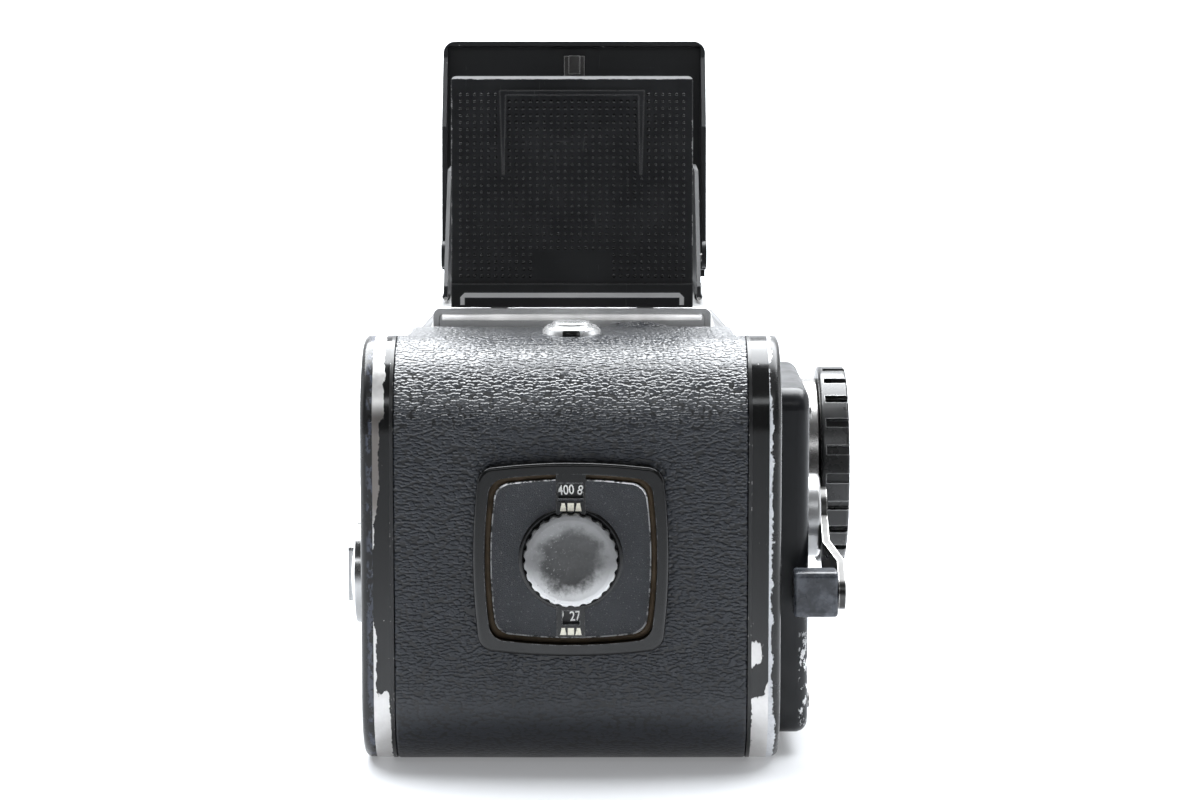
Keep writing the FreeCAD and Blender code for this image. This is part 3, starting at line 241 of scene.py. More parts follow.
def band_paint():
    """The magazine's side bands: gloss black, worn to bright metal from the outer edge and at the foot."""
    s = Shader()
    x = s.axis("X")
    z = s.axis("Z")
    torn = ragged(s, 4.0, 4.0)
    height = s.plus(z, s.times(torn, 1.6))
    left = s.span(x, 0.0, 1.0)
    right = s.inverse(left)
    left_steps = ((78.0, 82.0, -1.1), (66.0, 50.0, 1.7), (36.0, 30.0, -0.8), (18.2, 17.6, -3.0))
    left_edge = stepped(s, height, BAND_OUT - 1.6, left_steps)
    inward = s.plus(x, s.times(torn, 0.7))
    left_bare = s.span(s.minus(inward, left_edge), 0.0, 0.06)
    right_steps = ((22.4, 19.0, -1.3), (18.0, 17.0, -3.2))
    right_edge = stepped(s, height, BAND_OUT + 0.6, right_steps)
    outward = s.minus(torn, x)
    right_bare = s.span(s.minus(outward, right_edge), 0.0, 0.06)
    patch_edge = stepped(s, height, BAND_OUT - 5.4, ((23.0, 25.5, 3.9), (28.5, 30.5, -3.9)))
    patch = s.span(s.minus(outward, patch_edge), 0.06, 0.0)
    right_bare = s.most(right_bare, patch)
    bare = s.plus(s.times(left_bare, left), s.times(right_bare, right))
    specks = s.span(s.noise(0.8, 4), 0.735, 0.75)
    bare = s.most(bare, s.times(specks, 0.8))
    paint = s.mix(s.noise(10), grey(0.005), grey(0.010))
    brushed = s.noise(2.5, 5, 0.7)
    metal = s.mix(brushed, grey(0.60, 0.03), grey(0.86, 0.01))
    dull = s.times(s.span(z, 84.0, 80.0), s.span(z, 52.0, 62.0))
    metal = s.mix(s.times(dull, left), metal, (0.24, 0.22, 0.205, 1))
    color = s.mix(bare, paint, metal)
    normal = s.bumped(s.inverse(bare), 0.06, 1.0)
    roughness = s.mix(bare, smudges(s, 0.10, 0.20), s.span(brushed, 0.3, 0.7, 0.28, 0.42))
    return s.finish(color, roughness, s.times(bare, 0.7), normal)


def cover_paint():
    """The magazine's outer covers: satin black, with a painted grey sheen on one side and scraped bright on
    the other.
    """
    s = Shader()
    x = s.axis("X")
    z = s.axis("Z")
    torn = ragged(s, 2.0, 3.4)
    mottle = s.span(s.noise(2.2, 6, 0.7, stretch=(1, 1, 0.6)), 0.49, 0.55)
    left_edge = s.span(x, BAND_OUT + 1.7, BAND_OUT + 1.0)
    # painted sheen: a mottled bluish grey over the inner part of the left cover
    rubbed = s.times(mottle, left_edge, s.span(x, 0.0, 1.0))
    scrape = s.plus(s.times(x, -1.0), torn)
    width = stepped(s, z, BAND_OUT + 0.72, ((20.0, 10.0, 0.7), (84.0, 88.0, -0.7), (91.0, 93.0, 0.6)))
    gouges = s.span(s.noise(1.1, 6, 0.75, stretch=(1, 1, 0.5)), 0.32, 0.36)
    scraped = s.times(s.span(s.minus(scrape, width), 0.05, 0.0), s.span(x, -1.0, -2.0), gouges)
    chips = s.times(s.edges(1.2, 0.01, 0.1), s.chips(0.64, 1.4))
    bare = s.most(scraped, s.times(chips, 0.7))
    tone = s.mix(s.noise(8, 4), grey(0.008), grey(0.018))
    # lay the painted sheen over the paint
    color = s.mix(rubbed, tone, (0.065, 0.072, 0.095, 1))
    rough_metal = s.mix(s.noise(0.5, 5, 0.7), (0.50, 0.51, 0.54, 1), (0.97, 0.98, 1.0, 1))
    color = s.mix(bare, color, rough_metal)
    normal = s.bumped(s.inverse(bare), 0.05, 0.8)
    roughness = s.mix(bare, smudges(s, 0.24, 0.38), grey(0.5))
    return s.finish(color, roughness, s.times(bare, 0.1), normal)


def chrome_plate(dirt, rough, shine=1.0, tone=(0.72, 0.88)):
    """Satin chrome with fine scratches and spots of brown dirt."""
    s = Shader()
    scratches = s.noise(0.5, 2, stretch=(0.05, 1.0, 1.0))
    spots = s.span(s.noise(1.3, 5, 0.7), 0.64, 0.72, 0.0, dirt)
    plating = s.mix(s.noise(12, 3), grey(tone[0]), grey(tone[1]))
    plating = s.mix(s.edges(0.8, 0.02, 0.2), plating, grey(min(1.0, tone[1] * 1.15)))
    color = s.mix(spots, plating, (0.16, 0.11, 0.07, 1))
    normal = s.bumped(scratches, 0.01, 0.4)
    roughness = s.plus(smudges(s, *rough), s.times(spots, 0.6))
    metallic = s.times(s.inverse(spots), shine)
    return s.finish(color, roughness, metallic, normal)


def panel_wear(s):
    """Where the rear panel's paint is worn through: the bar at its foot, its top and parts of its sides."""
    high = corners("hood_rear_panel")[1]
    pivot = joint_place("rear_panel_fold")
    x = s.math("ABSOLUTE", s.axis("X"))
    y = s.axis("Y")
    z = s.axis("Z")
    torn = ragged(s, 2.5, 2.0)
    above = s.span(z, pivot.z - 1.35, pivot.z - 1.25)
    below = s.span(z, pivot.z + 0.5, pivot.z + 0.4)
    across = s.times(above, below, s.span(y, pivot.y + 2.15, pivot.y + 2.25))
    ends = s.times(s.span(x, 24.4, 24.6), s.span(x, 26.3, 26.1), s.span(y, pivot.y + 2.45, pivot.y + 2.5))
    bar = s.most(across, ends)
    top = s.span(s.plus(z, s.times(torn, 0.4)), high.z - 0.75, high.z - 0.65)
    side = s.span(s.plus(x, torn), high.x - 0.15, high.x - 0.05)
    side = s.times(side, s.span(z, pivot.z + 6.0, pivot.z + 10.0, 0.0, 0.45), s.chips(0.46, 3.0))
    return s.most(bar, s.most(top, side))


def hood_paint(scratch, rough, rim_wear, panel=False):
    """Satin black sheet metal with straight scratches and bright worn edges."""
    s = Shader()
    rims = s.times(s.edges(0.55, 0.03, 0.15), s.chips(rim_wear, 1.6))
    if panel:
        rims = s.most(s.times(rims, 0.12), panel_wear(s))
    lines = s.span(s.noise(0.8, 2, distort=1.5, stretch=(1.0, 0.4, 0.07)), 0.70, 0.76, 0.0, scratch)
    cross = s.span(s.noise(1.2, 2, distort=2.0, stretch=(0.06, 0.4, 1.0)), 0.72, 0.78, 0.0, scratch)
    marks = s.times(s.most(lines, cross), 0.4)
    tone = s.mix(s.noise(18, 4), (0.0038, 0.0042, 0.0052, 1), (0.008, 0.0086, 0.0105, 1))
    color = s.mix(marks, tone, grey(0.16))
    color = s.mix(rims, color, grey(0.85, 0.01))
    normal = s.bumped(s.noise(0.4, 1), 0.015, 0.4)
    roughness = s.mix(rims, smudges(s, *rough), grey(0.35))
    return s.finish(color, roughness, s.times(rims, 0.1), normal)


def worn_steel(tone_low, tone_high, rough):
    """Brushed steel, a little brighter along its rims."""
    s = Shader()
    grain = s.noise(0.35, 4, stretch=(1, 0.25, 1))
    color = s.mix(s.noise(5, 5, 0.65), grey(tone_low, 0.03), grey(tone_high, 0.02))
    color = s.mix(s.edges(0.5), color, grey(0.6, 0.02))
    normal = s.bumped(grain, 0.02, 0.5)
    return s.finish(color, smudges(s, *rough), 1.0, normal)


def trim_chrome():
    """Satin chrome of the trim under the finder, with a painted highlight that turns its rear wall near
    white.
    """
    s = Shader()
    rear = corners("top_cover")[1].y
    y = s.axis("Y")
    tone = s.mix(s.noise(12, 3), grey(0.30), grey(0.40))
    # painted highlight: near white towards the rear wall, standing for its bright reflection
    tone = s.mix(s.span(y, rear - 6.0, rear - 2.5), tone, grey(0.98))
    spots = s.times(s.span(s.noise(0.7, 5, 0.7), 0.60, 0.70), 0.12)
    color = s.mix(spots, tone, (0.16, 0.11, 0.07, 1))
    return s.finish(color, s.span(s.noise(3, 4), 0.3, 0.7, 0.36, 0.48), 0.25)


def rim_chrome():
    """The polished rim behind the finder, with a painted glow: it emits light that stands in for its white
    reflection of the studio's light.
    """
    s = Shader()
    tone = s.mix(s.noise(9, 4), grey(0.80), grey(0.95))
    # painted reflection: the rim glows by emission, its strength wandering between 0.35 and 0.6
    shine = s.span(s.noise(6, 3), 0.3, 0.7, 0.35, 0.60)
    return s.finish(tone, 0.3, 0.3, Emission_Color=tone, Emission_Strength=shine)


def knob_metal():
    """The film-speed knob: dark anodised aluminium with a painted highlight round its rim, strongest at the
    bottom, and mottled on its face.
    """
    s = Shader()
    mottle = s.noise(2.2, 6, 0.68)
    tone = s.mix(mottle, grey(0.050), grey(0.110))
    x = s.axis("X")
    z = s.minus(s.axis("Z"), DIAL_Z)
    radius = s.math("SQRT", s.plus(s.times(x, x), s.times(z, z)))
    wander = s.times(s.minus(s.noise(3.0, 6, 0.6), 0.5), 7.0)
    rim = s.span(s.plus(radius, wander), 5.2, 8.6)
    # painted highlight: the outer rim lightened, most towards its bottom
    painted_rim_highlight = s.times(rim, s.span(z, 0.0, -8.0, 0.20, 1.0))
    color = s.mix(painted_rim_highlight, tone, grey(0.86))
    pitted = s.times(s.span(s.noise(0.5, 4), 0.60, 0.68), s.span(x, 0.0, 4.0, 0.1, 0.8))
    color = s.mix(pitted, color, grey(0.30))
    normal = s.bumped(s.noise(0.4, 3), 0.03, 0.6)
    return s.finish(color, s.span(mottle, 0.3, 0.7, 0.46, 0.36), 0.45, normal)


def wrinkle_paint():
    """Fine wrinkle enamel on the film-speed plate, with dirt at its edge."""
    s = Shader()
    wrinkles = s.cells(0.42, "DISTANCE_TO_EDGE")
    tone = s.mix(s.noise(7, 4), (0.022, 0.024, 0.028, 1), (0.040, 0.043, 0.050, 1))
    tone = s.mix(s.span(s.noise(0.35, 3), 0.62, 0.72), tone, grey(0.12))
    rims = s.times(s.edges(0.4), s.chips(0.40, 1.0))
    color = s.mix(rims, tone, grey(0.42))
    normal = s.bumped(s.span(wrinkles, 0.0, 0.35), 0.08, 0.9)
    return s.finish(color, smudges(s, 0.45, 0.6), s.times(rims, 0.8), normal)


def worn_rim():
    """The film-speed plate's rim, rubbed through to metal in patches, with a painted highlight that makes it
    brightest at its top.
    """
    s = Shader()
    rubbed = s.span(s.noise(2.0, 6, 0.7), 0.42, 0.54)
    # painted highlight: the worn patches are weighted to be brighter towards the top
    rubbed = s.times(rubbed, s.span(s.axis("Z"), DIAL_Z + 10.0, DIAL_Z + 17.0, 0.35, 1.0))
    color = s.mix(rubbed, grey(0.015), grey(0.80))
    return s.finish(color, smudges(s, 0.3, 0.4), s.times(rubbed, 0.3))


def gloss_black(wear, base, rough=(0.10, 0.22), rim=0.20):
    """Smooth black enamel, chipped to grey along its rims; on the dials the grey rims are also painted
    highlight lines.
    """
    s = Shader()
    rims = s.times(s.edges(0.45), s.chips(wear, 1.0))
    color = s.mix(s.noise(9, 4), grey(base * 0.8), grey(base * 1.5))
    # the grey rims are chips and, on the dials, also painted highlight lines
    color = s.mix(rims, color, grey(rim))
    normal = s.bumped(s.noise(0.7, 2), 0.012, 0.5)
    return s.finish(color, smudges(s, *rough), s.times(rims, 0.6), normal)


def rubber():
    """The crank's grip: hard black plastic polished by fingers, cloudy in places."""
    s = Shader()
    clouds = s.span(s.noise(4.0, 4, 0.6), 0.42, 0.66)
    color = s.mix(clouds, (0.030, 0.033, 0.040, 1), (0.10, 0.108, 0.125, 1))
    color = s.mix(s.edges(0.7), color, grey(0.09))
    normal = s.bumped(s.noise(0.5, 4, 0.7), 0.03, 0.6)
    return s.finish(color, smudges(s, 0.25, 0.4), 0.0, normal)


def brass():
    s = Shader()
    color = s.mix(s.noise(3, 4), (0.42, 0.29, 0.12, 1), (0.66, 0.48, 0.22, 1))
    normal = s.bumped(s.noise(0.3, 3), 0.02, 0.5)
    return s.finish(color, smudges(s, 0.25, 0.4), 1.0, normal)


def glass():
    s = Shader()
    dust = s.span(s.noise(0.8, 4), 0.6, 0.75, 0.02, 0.10)
    color = s.mix(s.noise(20), (0.93, 0.96, 0.98, 1), (0.8928, 0.9216, 0.9408, 1))
    return s.finish(color, dust, 0.0, None, Transmission_Weight=1.0, IOR=1.5)


def coated_glass():
    """A lens element: deep, with an amber and blue coating that changes across it."""
    s = Shader()
    film = s.mix(s.noise(22, 1), (0.42, 0.24, 0.12, 1), (0.12, 0.20, 0.42, 1))
    color = s.mix(0.90, film, grey(0.012))
    dust = s.span(s.noise(0.5, 4), 0.68, 0.78, 0.03, 0.15)
    return s.finish(color, dust, 0.0, None, Specular_IOR_Level=0.9, Coat_Weight=0.8, Coat_Tint=film)


def ground_glass():
    """The focusing screen's fine matt face."""
    s = Shader()
    grain = s.noise(0.12, 3, 0.7)
    color = s.mix(s.noise(25), grey(0.30, 0.02), grey(0.42, 0.02))
    normal = s.bumped(grain, 0.01, 0.5)
    return s.finish(color, s.span(grain, 0.3, 0.7, 0.35, 0.55), 0.0, normal)


def mirror():
    s = Shader()
    haze = s.span(s.noise(3, 5), 0.5, 0.8, 0.02, 0.12)
    color = s.mix(s.noise(15), grey(0.80), grey(0.90))
    return s.finish(color, haze, 1.0)


def plastic(low, high, rough=(0.35, 0.5), warm=0.0):
    s = Shader()
    color = s.mix(s.noise(5, 4), grey(low, warm), grey(high, warm))
    normal = s.bumped(s.noise(0.35, 3), 0.03, 0.5)
    return s.finish(color, smudges(s, *rough), 0.0, normal)


def cloth():
    s = Shader()
    inputs = {"Vector": s.place, "Scale": 1.6}
    weave = s.add("ShaderNodeTexWave", inputs, wave_type="BANDS", bands_direction="Z").outputs["Fac"]
    color = s.mix(weave, grey(0.008), grey(0.02))
    return s.finish(color, smudges(s, 0.6, 0.8), 0.0, s.bumped(weave, 0.04, 0.7))


def marking(color, worn=0.25):
    """Numerals and index marks: paint filled into engraving, a little rubbed, with a faint painted glow that
    keeps them bright in shade.
    """
    s = Shader()
    rubbed = s.span(s.noise(0.6, 4), 0.52, 0.66, 0.0, worn)
    dark = tuple(c * 0.35 for c in color[:3]) + (1,)
    normal = s.bumped(s.noise(0.2, 2), 0.01, 0.4)
    tone = s.mix(rubbed, color, dark)
    # painted light: the marks glow faintly by emission
    return s.finish(tone, smudges(s, 0.5, 0.65), 0.0, normal, Emission_Color=tone, Emission_Strength=0.15)


# ---- mesh helpers ----
def placed(name, data):
    thing = bpy.data.objects.new(name, data)
    bpy.context.scene.collection.objects.link(thing)
    return thing


def build(name, vertices, faces, look, body, smooth=True):
    """A mesh from millimetre points in one of the MATERIALS, riding on a CAD body."""
    mesh = bpy.data.meshes.new(name)
    mesh.from_pydata([tuple(c * MM for c in v) for v in vertices], [], faces)
    mesh.update()
    if smooth:
        mesh.polygons.foreach_set("use_smooth", [True] * len(mesh.polygons))
    mesh.materials.append(MATERIALS[look])
    piece = placed(name, mesh)
    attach(piece, body)
    return piece


def bevelled(piece, width, segments=2):
    modifier = piece.modifiers.new("bevel", "BEVEL")
    modifier.width = width * MM
    modifier.segments = segments
    modifier.limit_method = "ANGLE"


def banded(loops, closed=False):
    """Loops of points, each joined to the next by a band of faces, and the last to the first if closed."""
    count = len(loops[0])
    vertices = [point for loop in loops for point in loop]
    faces = []
    for level in range(len(loops) if closed else len(loops) - 1):
        low = level * count
        high = (level + 1) % len(loops) * count
        for k in range(count):
            after = (k + 1) % count
            faces.append((low + k, low + after, high + after, high + k))
    return vertices, faces


def capped(loops):
    """Banded loops with a face over each end."""
    vertices, faces = banded(loops)
    count = len(loops[0])
    total = len(vertices)
    return vertices, faces + [list(range(count))[::-1], list(range(total - count, total))]


def lathe(profile, place, steps, ends=True):
    """Turns (radius, height) points about the z axis, then carries them by the matrix place (mm)."""
    circle = [2 * math.pi * step / steps for step in range(steps)]
    loops = []
    for radius, height in profile:
        loop = [(radius * math.cos(angle), radius * math.sin(angle), height) for angle in circle]
        loops.append([place @ Vector(point) for point in loop])
    return capped(loops) if ends else banded(loops)


def slab(outline, low, high, place):
    """A flat plate from a 2-D outline, between two heights, carried by the matrix place (mm)."""
    return capped([[place @ Vector((x, y, z)) for x, y in outline] for z in (low, high)])


def merged(parts):
    """Several (vertices, faces) pairs as one."""
    vertices = []
    faces = []
    for part_vertices, part_faces in parts:
        start = len(vertices)
        vertices += part_vertices
        faces += [[index + start for index in face] for face in part_faces]
    return vertices, faces


def rounded_rectangle(half_x, half_y, radius, rise=0.0):
    points = []
    for sign_x, sign_y, start in ((1, 1, 0), (-1, 1, 90), (-1, -1, 180), (1, -1, 270)):
        for step in range(7):
            angle = math.radians(start + 15 * step)
            points.append((
                sign_x * (half_x - radius) + radius * math.cos(angle),
                rise + sign_y * (half_y - radius) + radius * math.sin(angle),
            ))
    return points


def facing(direction, right, at):
    """A matrix whose local z looks along direction and local x along right, placed at a point (mm)."""
    normal = Vector(direction).normalized()
    along = Vector(right).normalized()
    up = normal.cross(along)
    matrix = Matrix((along, up, normal)).transposed().to_4x4()
    matrix.translation = Vector(at)
    return matrix


def numerals(name, text, size, place, body, depth=0.06):
    """Raised generic numerals, turned into a mesh."""
    curve = bpy.data.curves.new(name + "_curve", "FONT")
    curve.body = text
    curve.size = size
    curve.align_x = curve.align_y = "CENTER"
    curve.extrude = depth
    curve.offset = size * 0.012
    curve.resolution_u = 3
    holder = placed(name + "_holder", curve)
    depsgraph = bpy.context.evaluated_depsgraph_get()
    mesh = bpy.data.meshes.new_from_object(holder.evaluated_get(depsgraph))
    bpy.data.objects.remove(holder)
    mesh.transform(Matrix.Scale(MM, 4) @ place)
    mesh.materials.clear()
    mesh.materials.append(MATERIALS["numeral"])
    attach(placed(name, mesh), body)


def rectangle(half_x, half_y, x=0.0, y=0.0):
    return [(x + sx * half_x, y + sy * half_y) for sx, sy in ((-1, -1), (1, -1), (1, 1), (-1, 1))]


def leaned(pivot, degrees):
    """Carries a point drawn with a panel upright to where the leaning panel has it (mm)."""
    centre = Vector(pivot)
    turn = Matrix.Rotation(math.radians(degrees), 4, "X")
    return Matrix.Translation(centre) @ turn @ Matrix.Translation(-centre)


def joint_place(name):
    """Where a joint of the frame is (mm)."""
    joint = next(j for j in frame["joints"] if j["name"] == name)
    return Vector(joint["pos_m"]) / MM


# ---- magazine leather ----
LEATHER_STEP = 0.42
WRAP_TOP_RADIUS = 20.0
WRAP_LOW_RADIUS = 17.0
WRAP_THICK = 0.9
PEBBLE_WIDE = 2.0
PEBBLE_TALL = 1.05
PEBBLE_HEIGHT = 0.04
CORNER_START = 36.4
CORNER_DROP = 3.3
CORNER_RUN = 22.7
BUTTON_HOLE = 5.4


def wrap_runs():
    """(length, radius) of the wrap's flats and bends, from its front edge below to its front edge on top."""
    return (
        (MAG_REAR - WRAP_LOW_RADIUS - LEATHER_LOW.y, None),
        (WRAP_LOW_RADIUS * math.pi / 2, WRAP_LOW_RADIUS),
        (MAG_TOP - WRAP_TOP_RADIUS - WRAP_LOW_RADIUS, None),
        (WRAP_TOP_RADIUS * math.pi / 2, WRAP_TOP_RADIUS),
        (MAG_REAR - WRAP_TOP_RADIUS - LEATHER_LOW.y, None),
    )


def wrap_point(run):
    """(y, z, normal y, normal z) a distance run along the wrap."""
    y, z, heading = LEATHER_LOW.y, 0.0, 0.0
    for length, radius in wrap_runs():
        part = min(run, length)
        run -= part
        if radius:
            turned = heading + part / radius
            y += radius * (math.sin(turned) - math.sin(heading))
            z += radius * (math.cos(heading) - math.cos(turned))
            heading = turned
        else:
            y += part * math.cos(heading)
            z += part * math.sin(heading)
    return y, z, math.sin(heading), -math.cos(heading)


def pebbles(u, v, wide, tall, seed):
    """Height from 0 to 1 of rounded pebbles separated by creases, over a sheet."""
    table = np.random.default_rng(seed).random((64, 64, 2))
    column = np.floor(u / wide).astype(int)
    row = np.floor(v / tall).astype(int)
    nearest = np.full(u.shape, 9.0)
    second = np.full(u.shape, 9.0)
    for di in (-1, 0, 1):
        for dj in (-1, 0, 1):
            shift = table[(column + di) % 64, (row + dj) % 64]
            du = u / wide - (column + di + shift[..., 0])
            dv = v / tall - (row + dj + shift[..., 1])
            distance = np.sqrt(du * du + dv * dv)
            second = np.minimum(second, np.maximum(nearest, distance))
            nearest = np.minimum(nearest, distance)
    gap = np.clip((second - nearest) / 0.45, 0, 1)
    return gap * gap * (3 - 2 * gap)


def slow_waves(u, v, seed, size):
    """A smooth wandering height near 0, for lumps in the sheet."""
    random_phase = np.random.default_rng(seed).random((6, 3))
    total = np.zeros(u.shape)
    for a, b, c in random_phase:
        total += np.sin((u * math.cos(6.3 * a) + v * math.sin(6.3 * a)) / (size * (0.6 + b)) + 6.3 * c)
    return total / 6


def magazine_leather():
    """The leather wrap: grained, smoother round the foot, with one lifted edge beside the finder."""
    half = LEATHER_HIGH.x
    length = sum(part[0] for part in wrap_runs())
    columns = int(2 * half / LEATHER_STEP) + 1
    rows = int(length / LEATHER_STEP) + 1
    u, v = np.meshgrid(np.linspace(-half, half, columns), np.linspace(0, length, rows))
    place = np.array([wrap_point(float(run)) for run in v[:, 0]])
    x = u
    grain = 0.62 * pebbles(u + 0.5 * slow_waves(u, v, 3, 2.0), v, PEBBLE_WIDE, PEBBLE_TALL, 11)
    grain += 0.38 * pebbles(u, v + 0.4 * slow_waves(u, v, 4, 1.5), PEBBLE_WIDE * 0.6, PEBBLE_TALL * 0.7, 12)
    foot = np.clip((v - 38.0) / 22.0, 0.15, 1.0)
    height = (grain - 1.0) * PEBBLE_HEIGHT * foot + 0.05 * (slow_waves(u, v, 5, 7.0) - 1.0)
    edge = np.minimum(half - np.abs(u), np.minimum(v, length - v))
    height -= 0.35 * np.clip(1 - edge / 0.9, 0, 1) ** 2
    lift = np.exp(-(((x + 15.0) / 6.5) ** 4)) * np.clip((v - (length - 5.0)) / 5.0, 0, 1) ** 2
    height += 1.5 * lift
    y = place[:, 0][:, None] + height * place[:, 2][:, None]
    z = place[:, 1][:, None] + height * place[:, 3][:, None]
    ahead = np.clip((MAG_REAR - WRAP_TOP_RADIUS - y) / CORNER_RUN, 0, 1) * (z > MAG_TOP - 3)
    aside = np.clip((np.abs(x) - CORNER_START) / 1.6, 0, 1)
    z = z - CORNER_DROP * ahead * aside * aside * (3 - 2 * aside)
    hole = BEZEL_HIGH.x - 1.6
    under_bezel = (np.abs(x) / hole) ** 5 + (np.abs(z - DIAL_Z) / hole) ** 5 < 1
    under_button = np.hypot(x, y - BUTTON_Y) < BUTTON_HOLE
    keep = ~(under_bezel & (y > MAG_REAR - 2)) & ~(under_button & (z > MAG_TOP - 2))
    vertices = np.stack([x, y, z], axis=2).reshape(-1, 3)
    faces = []
    for row in range(rows - 1):
        for column in range(columns - 1):
            if keep[row:row + 2, column:column + 2].all():
                corner = row * columns + column
                faces.append((corner, corner + columns, corner + columns + 1, corner + 1))
    piece = build("leather_wrap", vertices.tolist(), faces, "leather", "magazine")
    loose = bmesh.new()
    loose.from_mesh(piece.data)
    bmesh.ops.delete(loose, geom=[vert for vert in loose.verts if not vert.link_faces], context="VERTS")
    bmesh.ops.recalc_face_normals(loose, faces=loose.faces)
    loose.to_mesh(piece.data)
    loose.free()
    thick = piece.modifiers.new("thickness", "SOLIDIFY")
    thick.thickness = WRAP_THICK * MM
    thick.offset = -1.0
    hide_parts("magazine_leather")


# ---- hood texture ----
REAR_LEAN = 4.0
LID_LEAN = 6.0
DOT_PITCH = 1.62
DOT_RADIUS = 0.46
DOT_HEIGHT = 0.28
DOT_RINGS = ((1.0, -0.06), (0.78, 0.45), (0.42, 0.88))
DOT_SIDES = 8
FIELD_HALF = 27.2
FIELD_LOW, FIELD_HIGH = 4.0, 48.8
PATCH_HALF, PATCH_ROWS = 8.5, 4
RIB_LOW, RIB_HIGH, RIB_HALF = 45.3, 47.8, 17.6
LEG_INNER, LEG_OUTER, LEG_LOW = 15.0, 17.4, 27.0


def dot_shape():
    """One dot facing +Y: rings of points that shrink as they rise to a tip."""
    loops = []
    for share, rise in DOT_RINGS:
        loop = []
        for side in range(DOT_SIDES):
            angle = -2 * math.pi * (side + 0.5) / DOT_SIDES
            out = Vector((math.cos(angle), 0, math.sin(angle))) * DOT_RADIUS * share
            loop.append(out + Vector((0, rise * DOT_HEIGHT, 0)))
        loops.append(loop)
    vertices, faces = banded(loops)
    tip = len(vertices)
    last = tip - DOT_SIDES
    for side in range(DOT_SIDES):
        faces.append((last + side, last + (side + 1) % DOT_SIDES, tip))
    return vertices + [Vector((0, DOT_HEIGHT, 0))], faces


def hood_dots():
    """A field of small raised dots on the rear panel, clear of its ribs and of a plain patch at its foot."""
    pivot = joint_place("rear_panel_fold")
    place = leaned(pivot, REAR_LEAN)
    columns = int(2 * FIELD_HALF / DOT_PITCH)
    rows = int((FIELD_HIGH - FIELD_LOW) / DOT_PITCH)
    shape, faces = dot_shape()
    dots = []
    for row in range(rows):
        for column in range(columns):
            x = DOT_PITCH * (column - (columns - 1) / 2)
            z = FIELD_LOW + row * DOT_PITCH
            plain = abs(x) < PATCH_HALF and row < PATCH_ROWS
            under_rib = RIB_LOW < z < RIB_HIGH and abs(x) < RIB_HALF
            under_leg = LEG_INNER < abs(x) < LEG_OUTER and LEG_LOW < z < RIB_HIGH
            if not (plain or under_rib or under_leg):
                centre = Vector((x, pivot.y + 0.8, pivot.z + z))
                dots.append(([place @ (centre + point) for point in shape], faces))
    build("hood_dots", *merged(dots), "hood_dots", "rear_panel")


# ---- film-speed dial ----
FILM_SPEEDS = {
    "upper": (("100", "200", "400", "800", "1600"), 15.3),
    "lower": (("21", "24", "27", "30", "33"), -13.3),
}
# The tab round each window and the window itself: half width, bottom, top and corner radius.
DIAL_WINDOWS = {
    "upper": ((3.3, 10.0, 19.3, 0.4), (2.75, 12.9, 17.2, 0.2)),
    "lower": ((3.2, -17.7, -10.6, 0.4), (2.0, -14.9, -11.7, 0.2)),
}
NUMBER_PITCH = 16.5
NUMBER_START = 4.1
NUMBER_SIZE = 3.1


def film_speed_numbers():
    """The two rings of film speeds on the disc, of which the windows show one each."""
    disc_y = corners("number_disc")[1].y
    centre = Matrix.Translation((0, disc_y + 0.04, DIAL_Z))
    for name, (numbers, rise) in FILM_SPEEDS.items():
        for index, number in enumerate(numbers):
            lean = NUMBER_START + (2 - index) * NUMBER_PITCH
            turn = Matrix.Rotation(math.radians(lean), 4, "Y")
            place = centre @ turn @ facing((0, 1, 0), (-1, 0, 0), (0, 0, rise))
            place = place @ Matrix.Diagonal((0.80, 1.0, 1.0, 1.0))
            numerals(f"film_speed_{name}_{index}", number, NUMBER_SIZE, place, "film_dial", 0.02)


def film_dial_details():
    """Smooth tabs round the two windows, generic index marks, and grime in the gap round the plate."""
    place = facing((0, 1, 0), (-1, 0, 0), (0, PLATE_HIGH.y, DIAL_Z))
    for name, (tab, window) in DIAL_WINDOWS.items():
        loops = []
        for (half, low, high, radius), height in ((tab, 0.0), (tab, 0.22), (window, 0.22), (window, -0.8)):
            outline = rounded_rectangle(half, (high - low) / 2, radius, (high + low) / 2)
            loops.append([place @ Vector((x, y, height)) for x, y in outline])
        build(f"window_frame_{name}", *banded(loops), "dial_gloss", "magazine", smooth=False)
    ring = [(10.2, 0.0), (10.2, 0.12), (11.6, 0.12), (11.7, 0.0)]
    build("knob_surround", *lathe(ring, place, 96, ends=False), "dial_gloss", "magazine")
    marks = []
    for middle, half in ((11.7, 0.9), (-16.4, 0.8)):
        for x, narrow in ((-1.7, 0.35), (0.0, 0.0), (1.7, 0.35)):
            outline = [(x - 0.7, middle - half), (x + 0.7, middle - half)]
            outline += [(x + 0.7 - narrow, middle + half), (x - 0.7 + narrow, middle + half)]
            marks.append(slab(outline, 0.2, 0.3, place))
    build("film_dial_marks", *merged(marks), "cream", "magazine", smooth=False)
    gap = bowed_square(PLATE_HIGH.x + 1.25, 0.9)
    edge = bowed_square(PLATE_HIGH.x + 0.02, 0.8)
    inside = bowed_square(PLATE_HIGH.x - 0.30, 0.8)
    rear = PLATE_HIGH.y
    build("bezel_grime", *bowed_ring(gap, edge, rear - 1.5, rear - 0.9), "grime", "magazine")
    build("plate_rim", *bowed_ring(edge, inside, rear - 0.5, rear + 0.04), "worn_rim", "magazine")


def bowed_ring(outer, inner, low_y, high_y):
    """The band between two outlines round the dial's centre, as a closed ring."""
    around = ((outer, high_y), (inner, high_y), (inner, low_y), (outer, low_y))
    return banded([[(-x, y, DIAL_Z + z) for x, z in outline] for outline, y in around], closed=True)


